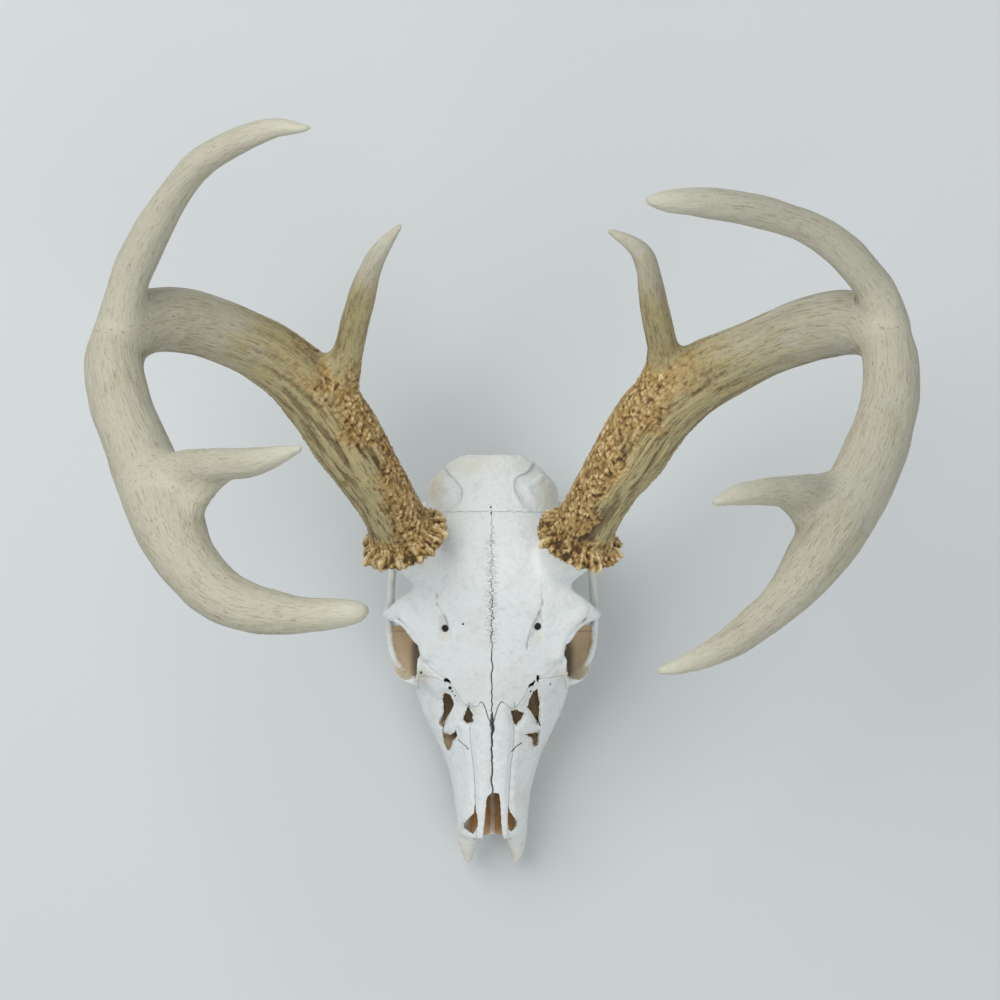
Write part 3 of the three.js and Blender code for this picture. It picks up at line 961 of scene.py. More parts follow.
FRONTAL_EDGE = ((-62, -101), (-36, -103.5), (-28, -105.8), (-23.6, -108), (-20.6, -113), (-16.9, -118.6), (-13.4, -120.5),
                (-9.3, -121), (-6.4, -118.2), (-4.9, -119), (-2.8, -125.3), (-1.3, -129.4), (0, -130.6), (1.2, -129.4),
                (2.7, -123.4), (4.7, -118.6), (6.2, -118), (8.8, -119.6), (11.8, -122.3), (15.9, -119), (19.9, -113),
                (22, -108.6), (27, -104.6), (36, -103.5), (62, -100))
ROOF_LINE = ((26, 85), (8, 98), (-9, 106), (-26, 112), (-42, 114), (-57, 112), (-70, 108), (-86, 103), (-104, 95.5),
             (-119, 88.6), (-130, 84.5), (-152, 74.5), (-170, 66), (-188, 58.5), (-203, 51), (-215, 46))


def roof_height(y: Points) -> Points:
    """Height of the skull's roof on the midline."""
    line = np.array(ROOF_LINE[::-1])
    return np.interp(y, line[:, 0], line[:, 1])


def nasal_width(y: Points) -> Points:
    """How far each nasal bone reaches from the midline."""
    return np.interp(-y, (117, 142, 158, 172, 190, 216), (13.2, 12.8, 11.0, 10.1, 9.7, 9.2))


def frontal_floor(y: Points) -> Points:
    """Height of the level where the frontal bones end below."""
    return 76 - 0.06 * (y + 8)


@dataclass
class Skull:
    """The skull, from the nuchal crest to the front of the maxillae."""

    cranium: tuple[Section, ...] = (
        Section(26, 18, 85, 78, 68, 2.2, 2),
        Section(21, 26.5, 90, 70, 48, 2.2, 2),
        Section(8, 37, 98, 66, 36, 2.2, 2),
        Section(-9, 39, 106, 70, 34, 2.3, 2),
        Section(-26, 37, 112, 80, 36, 2.8, 1.7),
        Section(-42, 38, 114, 92, 38, 2.9, 1.3),
        Section(-57, 43, 112, 97, 40, 2.6, 1.1),
        Section(-70, 47, 108, 94, 42, 2, 1.1),
        Section(-86, 43, 103, 88, 42, 2, 1.3),
        Section(-104, 41, 95.5, 78, 40, 1.8, 2),
        Section(-122, 30, 86, 64, 42, 1.7, 2),
    )
    face: tuple[Section, ...] = (
        Section(-74, 24, 76, 46, 26, 2, 3),
        Section(-90, 40, 90, 43, 15, 1.8, 3.4),
        Section(-107, 46, 93.5, 45, 13, 1.7, 3),
        Section(-130, 40, 84.5, 42, 12.5, 1.65, 3.2),
        Section(-152, 30, 74.5, 37, 12.5, 1.75, 3.4),
        Section(-170, 24.5, 66, 33, 13, 2, 3),
        Section(-188, 22, 58.5, 30, 13, 2.3, 2.6),
        Section(-203, 20.5, 51, 27, 12.5, 2.2, 2.2),
    )
    arch: Bar = Bar(
        (
            (36, -3, 53, 5, 6),
            (50, -14, 53, 4, 5),
            (58, -34, 54, 2.6, 5),
            (60.5, -58, 56, 2.6, 6),
            (60, -80, 57, 2.8, 6.5),
            (53.5, -98, 58, 4, 7),
            (42, -108, 60, 5, 9),
        )
    )
    post_bar: Bar = Bar(
        (
            (36, -54, 103, 10, 4),
            (48, -60, 100.5, 7, 2.6),
            (60.5, -67, 91, 3.6, 2.2),
            (61, -66, 76, 3.4, 2.2),
            (60, -64, 58, 5, 3),
        )
    )
    rim: Bar = Bar(
        (
            (43, -84, 94.5, 1.8, 1.8),
            (50, -73.5, 95.5, 1.8, 1.6),
            (58, -69.3, 90, 1.5, 1.5),
            (60.8, -68.8, 80, 1.4, 1.6),
            (61.2, -70.5, 68, 1.4, 1.8),
            (61.2, -76, 60, 1.4, 2.0),
            (61, -83, 56.8, 1.4, 2.0),
            (59.3, -91, 56.6, 1.5, 2.0),
            (55.3, -99, 59, 1.6, 2.0),
            (49, -105.4, 64, 1.8, 2.0),
            (44.2, -106.2, 73, 1.9, 2.0),
            (42.2, -100.5, 84, 1.9, 1.9),
            (42.4, -91, 91, 1.8, 1.8),
        )
    )
    shelf: Bar = Bar(
        ((50, -58, 100, 7, 3), (47, -66, 98.8, 7.5, 3.2), (41, -75, 97.4, 6.5, 3.4), (38, -84, 95.4, 5.5, 3.4),
         (37.5, -94, 91, 5, 3)),
    )
    jugular: Bar = Bar(
        ((27, 5, 46, 7, 8), (25.5, 8, 26, 6, 4.6), (24, 9, 8, 4.4, 3), (23.5, 9, -1, 3.2, 2.6)),
        up=(1, 0, 0),
    )
    pterygoid: Bar = Bar(
        ((13, -84, 27, 2.2, 11), (12.5, -66, 33, 1.8, 11), (12, -46, 40, 2, 8)),
    )
    prong: Bar = Bar(
        ((14, -194, 26, 7.6, 13), (14.6, -206, 22, 6.2, 9), (15, -214, 18.5, 4.2, 6), (13.8, -222, 15.5, 1.6, 2.6)),
    )
    pedicle: Bar = Bar(
        ((31, -44, 88, 12, 12), (40.5, -34, 106, 14.5, 14.5), (48.6, -24.6, 124, 15.8, 15.8)),
        up=(0, 0, 1),
        closed_ends=False,
    )
    fossae: tuple[Hollow, ...] = (Hollow((57, -40, 62), (17, 25, 22), 0.25),)
    hollows: tuple[Hollow, ...] = (
        Hollow((54, -87.5, 75), (23.5, 19, 18.5), 1.0),
        Hollow((0, 22, 51), (9.5, 17, 9), 0.8, paired=False),
        Hollow((0, -76, 40), (8, 26, 12), 0.5, paired=False),
        Hollow((0, -135, 11), (17, 92, 9), 0.1, paired=False),
        Hollow((0, -196, 38), (13, 42, 13), 1.0, paired=False),
        Hollow((46, -112, 74), (7, 10, 3.5), 0.15),
    )

    def cutter(self, hollows: Sequence[Hollow]) -> Clay:
        """The shape of some hollows, as one lump."""
        tool = Clay("hollows")
        for hollow in hollows:
            for side in hollow.sides():
                tool.add(ball((side * hollow.at[0], *hollow.at[1:]), hollow.size, 40))
        return tool.remesh(0.8)

    def solid_mass(self) -> Clay:
        """Joins the main bodies, knobs and rods into one smooth lump."""
        clay = Clay("skull")
        clay.add(section_body(self.cranium)).add(section_body(self.face))
        for side in (-1, 1):
            clay.add(ball((side * 27.5, 3, 58), (12, 13, 20)))
            clay.add(ball((side * 13, 13, 40), (8.5, 8.5, 12)))
            clay.add(ball((side * 21, -9, 30), (8, 11, 9)))
        clay.remesh(1.1).carve(self.cutter(self.fossae))
        for side in (-1, 1):
            for rod in (self.arch, self.post_bar, self.shelf, self.jugular, self.pterygoid, self.prong, self.pedicle):
                clay.add(rod.build(side))
            clay.add(ball((side * 45, -89, 65), (16.5, 21, 20)))
            clay.add(ball((side * 27, -47, 93), (20, 20, 15.5)))
        clay.remesh(1.1).smooth(10)
        points = clay.points
        soft = np.zeros(len(points))
        for side in (-1, 1):
            for middle, reach in (((33, -44, 106), 25), ((38, -76, 101), 17)):
                gap = np.linalg.norm(points - np.array(middle) * (side, 1, 1), axis=1)
                soft = np.maximum(soft, bump(gap, reach))
        return clay.smooth_where(np.clip(soft * 2, 0, 1), 110)

    def carved(self) -> Clay:
        """Cuts the rounded hollows and evens the skin."""
        clay = self.solid_mass()
        clay.carve(self.cutter(self.hollows))
        for side in (-1, 1):
            clay.add(self.rim.build(side, rings=80))
        return clay.remesh(SKULL_VOXEL).smooth(3)

    def sculpt(self, clay: Clay) -> None:
        """Raises and lowers the skin: crests, grooves, bulges and texture."""
        points, normals = clay.points, clay.normals
        x, y, z = points.T
        upward = fade(normals[:, 2], 0.15, 0.55)
        outer = fade(z - roof_height(y), -60, -35)
        change = np.zeros(len(points))
        for side, temple in ((-1, RIGHT_TEMPLE), (1, LEFT_TEMPLE)):
            line = curve(temple)
            gap, _ = line_distance(points, line)
            edge = np.interp(-y, -line[:, 1], np.abs(line[:, 0]))
            beyond = side * x - edge
            zone = fade(y, -16, -6) * (side * x > 0) * upward
            change -= zone * 0.55 * bump(gap, 1.2)
            change += zone * 0.4 * bump(beyond + 1.6, 2.4)
            change -= zone * 1.1 * fade(beyond, 0, 3) * (1 - fade(beyond, 9, 17))
            change += zone * 0.8 * bump(gap - 7.5, 3.0) * (beyond > 0)
        change += upward * 1.6 * bump(z - roof_height(y) + 2, 9) * fade(y, 17.5, 23)
        change += upward * 0.5 * grain(points, (9, 5, 9), 2, 4.0) * fade(y, 5, 18)
        for middle in (-17.0, 14.5):
            hump = np.hypot((x - middle) / 15, (y + 36) / 22)
            change += upward * 1.3 * bump(hump, 1)
        change -= upward * 0.7 * bump(x, 7) * bump(y + 48, 42)
        for groove, pocket in ((RIGHT_GROOVE, RIGHT_HOLLOW), (LEFT_GROOVE, LEFT_HOLLOW)):
            gap, _ = line_distance(points, curve(groove))
            edge, inside = line_distance(points, pocket, closed=True)
            tapered = fade(y, -86, -74)
            change -= upward * 0.5 * bump(gap, 1.0) * fade(y, -90, -76)
            change -= upward * 2.4 * inside * fade(edge, 0, 2.4) * tapered
        for side in (-1, 1):
            shelf = np.hypot((side * x - 50) / 9, (y + 63) / 9)
            change -= upward * 0.8 * bump(shelf, 1)
            seam, _ = line_distance(points, ((side * 43.5, -88), (side * 38, -97), (side * 31, -103), (side * 27, -105)))
            change -= 0.7 * bump(seam, 1.2) * upward
            tear = np.hypot((side * x - 44) / 8, (y + 103) / 6)
            change += 0.9 * grain(points, 3.2, 3, 9.0) * bump(tear, 1)
            ridge, _ = line_distance(points, ((side * 53, -100), (side * 45, -112), (side * 40, -128)))
            change += 1.0 * bump(ridge, 4.5) * bump(z - 52, 14)
        nasal = fade(-y, 119, 132) * upward
        change += nasal * 0.9 * bump(np.abs(x) - 6.3, 6)
        change -= nasal * 0.6 * bump(x, 2.4)
        change -= nasal * 0.7 * bump(np.abs(x) - nasal_width(y), 3.2) * (1 - fade(-y, 184, 192))
        change -= nasal * 0.9 * bump(np.abs(x) - 19, 7) * bump(y + 165, 30)
        for opening in OPENINGS[:6]:
            gap, inside = line_distance(points, opening.outline, closed=True)
            change -= upward * 1.1 * bump(np.where(inside, 0, gap), 3.2)
        change += outer * 0.22 * grain(points, (7, 14, 7), 3, 1.0)
        change += 0.16 * grain(points, 2.4, 2, 2.0)
        pitted = bump(np.hypot((np.abs(x) - 36) / 12, (y + 118) / 22), 1) * fade(z, 48, 60)
        change -= 0.8 * pitted * np.clip(grain(points, 1.9, 2, 6.0) - 0.1, 0, 1)
        clay.push(change)

    def seams(self, wider: float) -> list[Clay]:
        """The thin sheets that part the bones.

        Args:
            wider: millimetres added to their thickness.

        Returns:
            The sheets in the order they are cut.
        """
        tools = []

        def tool(*parts: bmesh.types.BMesh) -> None:
            """Adds one cutter."""
            clay = Clay("seam")
            for part in parts:
                clay.add(part)
            tools.append(clay)

        x = np.arange(-75, 75.2, 0.4)
        stray = np.array([noise.noise(Vector((v * 0.5, 0, 1))) + 0.5 * noise.noise(Vector((v * 1.3, 4, 1))) for v in x])
        across = np.column_stack([x, -8 + 1.5 * (1 - np.abs(x) / 75) + 0.9 * stray])
        back = np.interp(0, across[:, 0], across[:, 1])
        y = np.arange(-235, back + 0.8, 0.2)
        squiggle = np.array([noise.noise(Vector((0, v * 0.55, 5))) for v in y])
        coarse = np.array([noise.noise(Vector((0, v * 0.16, 9))) for v in y])
        loose = fade(y, -92, -68) * (1 - fade(y, -16, -9))
        x = squiggle * (0.45 + 2.2 * loose) + coarse * 0.9 * (1 - fade(-y, 205, 212))
        low = np.where(y > -76.5, frontal_floor(y) - 0.05, -5.0)
        width = wider + 0.12 + 0.26 * fade(-y, 30, 70) + 0.22 * fade(-y, 84, 90) - 0.45 * fade(-y, 174, 178)
        tool(wall(np.column_stack([x, y]), width, low, 150.0))
        gape_y = np.arange(-176, -121.9, 0.45)
        gape_x = np.interp(gape_y, y, x)
        gape = 1.0 + 1.7 * bump(gape_y + 131.5, 8) + 0.35 * np.array([noise.noise(Vector((v, 1, 1))) for v in gape_y])
        gape *= 0.25 + 0.75 * fade(-gape_y, 121, 127)
        tool(wall(np.column_stack([gape_x, gape_y]), gape, roof_height(gape_y) - 11, 120.0))
        tool(wall(across, 0.08 + wider, 75.0, 150.0))
        y = np.arange(-131.5, -3.0, 0.5)
        reach = np.interp(-y, (103.5, 105, 106, 108, 113, 119, 121, 122.5, 124, 132),
                          (75, 34, 31, 26.5, 23.5, 19.5, 17, 14, 5.5, 2.5))
        tool(slab(y, reach + 1.2, frontal_floor(y), 0.22 + wider))
        edge = ragged(curve(FRONTAL_EDGE), 0.3, 0.4)
        wedge = fade(7.5 - np.abs(edge[:, 0]), 0, 1.5)
        tool(wall(edge, wider + 0.14 + 0.3 * wedge, np.where(np.abs(edge[:, 0]) < 14, 74.0, 81.3), 150.0))
        y = np.arange(-216, -117.0, 1.0)
        for side in (-1, 1):
            bend = np.array([noise.noise(Vector((side, v * 0.11, 2))) for v in y])
            path = np.column_stack([side * (nasal_width(y) + 0.5 * bend), y])
            tool(wall(path, 0.16 + wider, roof_height(y) - 7.4, 110.0))
        y = np.arange(-216, -113.0, 1.0)
        tool(slab(y, nasal_width(y) + 0.9, np.minimum(roof_height(y) - 7, frontal_floor(y) - 0.8), 0.3 + wider))
        tool(wall(ragged(((-60, -78), (60, -78)), 0.3, 0.5), 0.1 + wider, -5.0, 80.4))
        sides = []
        for side in (-1, 1):
            path = ragged(((side * 43, 4), (side * 43, -106), (side * 44, -112), (side * 52, -118)), 0.4, 0.4)
            sides.append(wall(path, 0.12 + wider, 20.0, frontal_floor(path[:, 1]) + 0.05))
        tool(*sides)
        return tools

    def blades(self) -> list[bmesh.types.BMesh]:
        """The shapes that cut the openings, pores and cracks."""
        shapes = [prism(opening.edge(), opening.low, opening.high) for opening in OPENINGS]
        for x, y, radius, low in PORES:
            angles = np.linspace(0, 2 * math.pi, 14, endpoint=False)
            ring = np.column_stack([x + radius * np.cos(angles), y + radius * 1.1 * np.sin(angles)])
            shapes.append(prism(ring, low, 120))
        shapes.extend(wall(ragged(line, 0.8, 0.6), width, low, 120.0) for line, width, low in CRACKS)
        shapes.append(prism(ragged(NASAL_MOUTH, 1.0, 0.45, closed=True), 38, 80))
        shapes.extend(prism(ragged(outline, 1.0, 0.45, closed=True), 35, 80) for outline in NASAL_SLITS)
        return shapes

    def cut(self, bone: Clay) -> None:
        """Cuts the openings, pores and cracks that reach a bone."""
        points = bone.points
        low, high = points.min(axis=0), points.max(axis=0)
        for shape in self.blades():
            reach = np.array([vertex.co[:] for vertex in shape.verts])
            if (reach.min(axis=0) < high).all() and (reach.max(axis=0) > low).all():
                bone.carve(Clay("blade").add(shape))
            else:
                shape.free()

    def bone_of(self, centre: Points) -> str:
        """Name of the bone that a cut part belongs to.

        Args:
            centre: middle of the part.

        Returns:
            The bone's node name.
        """
        x, y, z = centre
        side = Side.LEFT.label if x > 0 else Side.RIGHT.label
        if z > frontal_floor(y) - 1 and y > -119:
            return f"frontal_{side}" if y < -7 else "braincase"
        if abs(x) > 43 and z < 85:
            return f"zygomatic_{side}"
        if y < -119 and abs(x) < 13.2 and z > roof_height(y) - 8:
            return f"nasal_{side}"
        if y < -78:
            return f"maxilla_{side}"
        return "braincase"

    def stains(self, clay: Clay) -> None:
        """Stores how brown and how dark the bone is at each vertex, painted shade included."""
        points, normals = clay.points, clay.normals
        x, y, z = points.T
        stain = np.zeros(len(points))
        for hollow in (*self.fossae, *self.hollows):
            for side in hollow.sides():
                near = 1 - fade(hollow.depth(points, side), 0.995, 1.03)
                stain = np.maximum(stain, near * hollow.stain)
        ink = np.zeros(len(points))
        steep = 1 - fade(normals[:, 2], 0.35, 0.7)
        for opening in OPENINGS:
            gap, inside = line_distance(points, opening.outline, closed=True)
            near = np.where(inside, 1.0, 1 - fade(gap, 0.7, 1.3))
            # Steep walls of each opening turn tan: broken bone, and painted shade.
            sunk = near * np.maximum(steep, z < opening.low + 2)
            stain = np.maximum(stain, sunk)
            # Painted shade: darker toward the bottom of each opening.
            deep = near * (1 - fade(z - opening.low, 0, 12)) * (0.5 - 0.35 * fade(gap, 0.3, 2.6))
            ink = np.maximum(ink, deep + 0.18 * sunk * fade(grain(points, 2.5, 2, 14.0), -0.2, 0.5))
        # Steep walls of the nasal slits turn tan: broken bone, and painted shade.
        for outline in NASAL_SLITS:
            gap, inside = line_distance(points, outline, closed=True)
            near = np.where(inside, 1.0, 1 - fade(gap, 0.7, 1.3))
            stain = np.maximum(stain, near * steep * 0.8)
        # Amber inside the nasal cavity: the unbleached floor, deepened as painted shade.
        cavity = self.hollows[4].depth(points, 1)
        warm = (1 - fade(cavity, 1.0, 1.1)) * fade(-y, 150, 176) * (1 - fade(-y, 196, 206))
        warm *= 0.75 + 0.35 * grain(points, (3, 9, 3), 2, 8.0)
        crest = fade(y, 4, 22) * 0.22 + 0.3 * bump(np.hypot((np.abs(x) - 42) / 9, (y + 22) / 26), 1)
        # Tan beyond the temporal lines, where the wall falls away: a tint, and painted shade on the slope.
        temple = fade(np.abs(x), 17, 34) * fade(y, -14, 2) * (0.42 + 0.2 * grain(points, 9.0, 2, 12.0))
        brow = bump(np.hypot(x / 30, (y + 112) / 22), 1) * 0.22
        tear = bump(np.hypot((np.abs(x) - 42) / 11, (y + 103) / 9), 1) * 0.4
        front = fade(-y, 196, 212) * 0.3
        stain = np.maximum.reduce([stain, crest, temple, brow, tear, front])
        # Painted shade: a dark line in the crease along each temporal line.
        for temple_line in (LEFT_TEMPLE, RIGHT_TEMPLE):
            gap, _ = line_distance(points, curve(temple_line))
            ink = np.maximum(ink, 0.42 * bump(gap, 0.7) * (z > 70) * fade(y, -6, 5))
        # Painted shade: dark lines in the supraorbital grooves.
        for groove in (LEFT_GROOVE, RIGHT_GROOVE):
            gap, _ = line_distance(points, curve(groove))
            ink = np.maximum(ink, 0.55 * bump(gap, 0.8) * (z > 85) * fade(grain(points, 4.0, 1, 3.0), -0.3, 0.3))
        for pocket in (LEFT_HOLLOW, RIGHT_HOLLOW):
            edge, inside = line_distance(points, pocket, closed=True)
            stain = np.maximum(stain, 0.32 * inside * fade(edge, 0, 2.5) * (z > 85))
        socket = np.minimum(self.hollows[0].depth(points, 1), self.hollows[0].depth(points, -1))
        ring = run_through(self.rim.rows, np.linspace(0, 1, 90))[:, :3]
        mirrored = np.column_stack([np.abs(x), y, z])
        to_rim = np.full(len(points), 99.0)
        near = socket < 1.3
        to_rim[near] = np.linalg.norm(mirrored[near][:, None] - ring[None], axis=2).min(axis=1)
        within = (1 - fade(socket, 0.995, 1.03)) * fade(to_rim + 0.5 * grain(points, 4.0, 2, 23.0), 1.5, 2.6)
        # Painted shadow: dark under the orbit's rim and along its inner wall.
        rim_gap, _ = line_distance(np.column_stack([np.abs(x), y]), curve(ORBIT_RIM))
        ink = np.maximum(ink, within * (1 - fade(rim_gap, 1.0, 6.0)) * 0.8)
        ink = np.maximum(ink, within * (1 - fade(np.abs(x), 42, 47)) * 0.7)
        # Painted light and shade: the orbit's inside is lighter toward the front and outside, darker toward the back
        # and the middle.
        shade = 0.98 - 0.3 * fade(-y + 0.8 * (np.abs(x) - 52), 92, 106) + 0.1 * grain(points, 7.0, 2, 15.0)
        stain = np.where(within > 0.5, shade, np.where(socket < 1.03, stain * within, stain))
        store(clay.mesh, "warm", np.clip(warm, 0, 1))
        store(clay.mesh, "seam", bump(x, 5.5) * fade(-y, 14, 24) * (1 - fade(-y, 78, 92)) * fade(z, 85, 95))
        # The tan stain holds painted shade in the orbits and on the walls of openings; the dark mark stored next is
        # painted shade.
        store(clay.mesh, "stain", stain)
        store(clay.mesh, "ink", ink)

    def build(self) -> dict[str, Clay]:
        """Makes the bones.

        Returns:
            The finished bones by node name.
        """
        clay = self.carved()
        self.sculpt(clay)
        bones: dict[str, Clay] = {}
        for tool in self.seams(SEAM_EXTRA):
            clay.carve(tool)
        for part in clay.parts():
            low, high = part.points.min(axis=0), part.points.max(axis=0)
            if (high - low).max() < 4:
                part.remove()
                continue
            name = self.bone_of(part.points.mean(axis=0))
            LOG.info("part of %s: %d vertices, %s..%s", name, len(part.points), low.round(), high.round())
            if name in bones:
                bones[name].take(part)
            else:
                part.name = name
                bones[name] = part
        for bone in bones.values():
            self.cut(bone)
            self.stains(bone)
        return bones


@dataclass(frozen=True)
class Tooth:
    """One upper cheek tooth: its place in the row, length, width and number of lobes."""

    y: float
    x: float
    length: float
    width: float
    lobes: int

    def build(self, side: int) -> bmesh.types.BMesh:
        """Makes the tooth, from above the gum line down to the worn face.

        Args:
            side: 1 for left and -1 for right.

        Returns:
            A closed mesh.
        """

        def ring(t: Points, angle: Points) -> Points:
            """Places of the tooth's skin."""
            wall_part = np.clip(t / 0.8, 0, 1)
            face_part = np.clip((t - 0.8) / 0.2, 0, 1)
            lobe = 1 + 0.09 * np.cos(2 * angle * 1.0) * (self.lobes - 1) + 0.03 * np.cos(6 * angle)
            flare = 1.06 - 0.1 * wall_part
            shrink = 1 - face_part
            out = 0.5 * self.width * np.cos(angle) * lobe * flare * shrink
            pinch = 1 - 0.12 * (self.lobes - 1) * bump(np.sin(angle), 0.5)
            forward = 0.5 * self.length * np.sin(angle) * flare * shrink
            z = 20 * (1 - wall_part) + 2.6 * bump(face_part - 0.45, 0.4) + 1.2 * face_part * (np.cos(angle) < 0)
            return np.column_stack([side * (self.x + out * pinch), self.y + forward, z])

        return tube(ring, 30, 36)


def tooth_row(side: int) -> Clay:
    """The six cheek teeth of one side.

    Args:
        side: 1 for left and -1 for right.

    Returns:
        The teeth as one lump.
    """
    sizes = ((14.5, 14, 2), (15.5, 15.5, 2), (13.5, 14.5, 2), (11, 12.5, 1), (10.5, 11, 1), (10, 9, 1))
    row = Clay(f"teeth_{Side(side).label}")
    reach = sum(size[0] for size in sizes)
    run = 0.0
    for length, width, lobes in sizes:
        middle = run + length / 2
        x = 29 - 9.5 * (middle / reach) ** 1.4
        row.add(Tooth(-86 - middle, x, length * 0.98, width, lobes).build(side))
        run += length
    row.remesh(0.5).smooth(2)
    points = row.points
    row.push(0.25 * grain(points, (2.4, 2.4, 12.0), 2, 1.0))
    return row


# ------------------------------------------------------------------ antlers
@dataclass(frozen=True)
class Branch:
    """One run of antler: rows of x, y, z and radius in millimetres, from root to tip."""

    name: str
    rows: tuple[tuple[float, float, float, float], ...]

    def samples(self, step: float = 2.0) -> tuple[Points, Points, Points]:
        """Places, radii and lengths along the run.

        Args:
            step: spacing in millimetres.

        Returns:
            Places, radii and distance from the root.
        """
        rough = run_through(self.rows, np.linspace(0, 1, 200))
        length = np.linalg.norm(np.diff(rough[:, :3], axis=0), axis=1).sum()
        count = max(12, int(length / step))
        values = run_through(self.rows, np.linspace(0, 1, count))
        gaps = np.linalg.norm(np.diff(values[:, :3], axis=0), axis=1)
        return values[:, :3], values[:, 3], np.concatenate([[0], np.cumsum(gaps)])

    def build(self) -> bmesh.types.BMesh:
        """Makes the run with a rounded tip."""
        places, radii, run = self.samples()
        _, upright, sideways = cross_frames(places, (0, 0, 1))
        rings = len(places) - 1
        left = run[-1] - run
        dome = np.sqrt(np.clip(1 - (1 - np.clip(left / radii[-1] / 1.5, 0, 1)) ** 2, 0.02, 1))

        def ring(t: Points, angle: Points) -> Points:
            """Places of the run's skin."""
            i = np.rint(t * rings).astype(int)
            radius = (radii[i] * dome[i])[:, None]
            return places[i] + radius * (
                np.cos(angle)[:, None] * sideways[i] + np.sin(angle)[:, None] * upright[i]
            )

        return tube(ring, rings, 28)


@dataclass(frozen=True)
class Surroundings:
    """Where points are on an antler.

    It holds the run's number, the distance from its root, the angle around it, its radius, the
    distance left to its tip, the direction outward, and how clearly a point is on one run only.
    """

    owner: Points
    run: Points
    angle: Points
    radius: Points
    tip: Points
    away: Points
    clear: Points


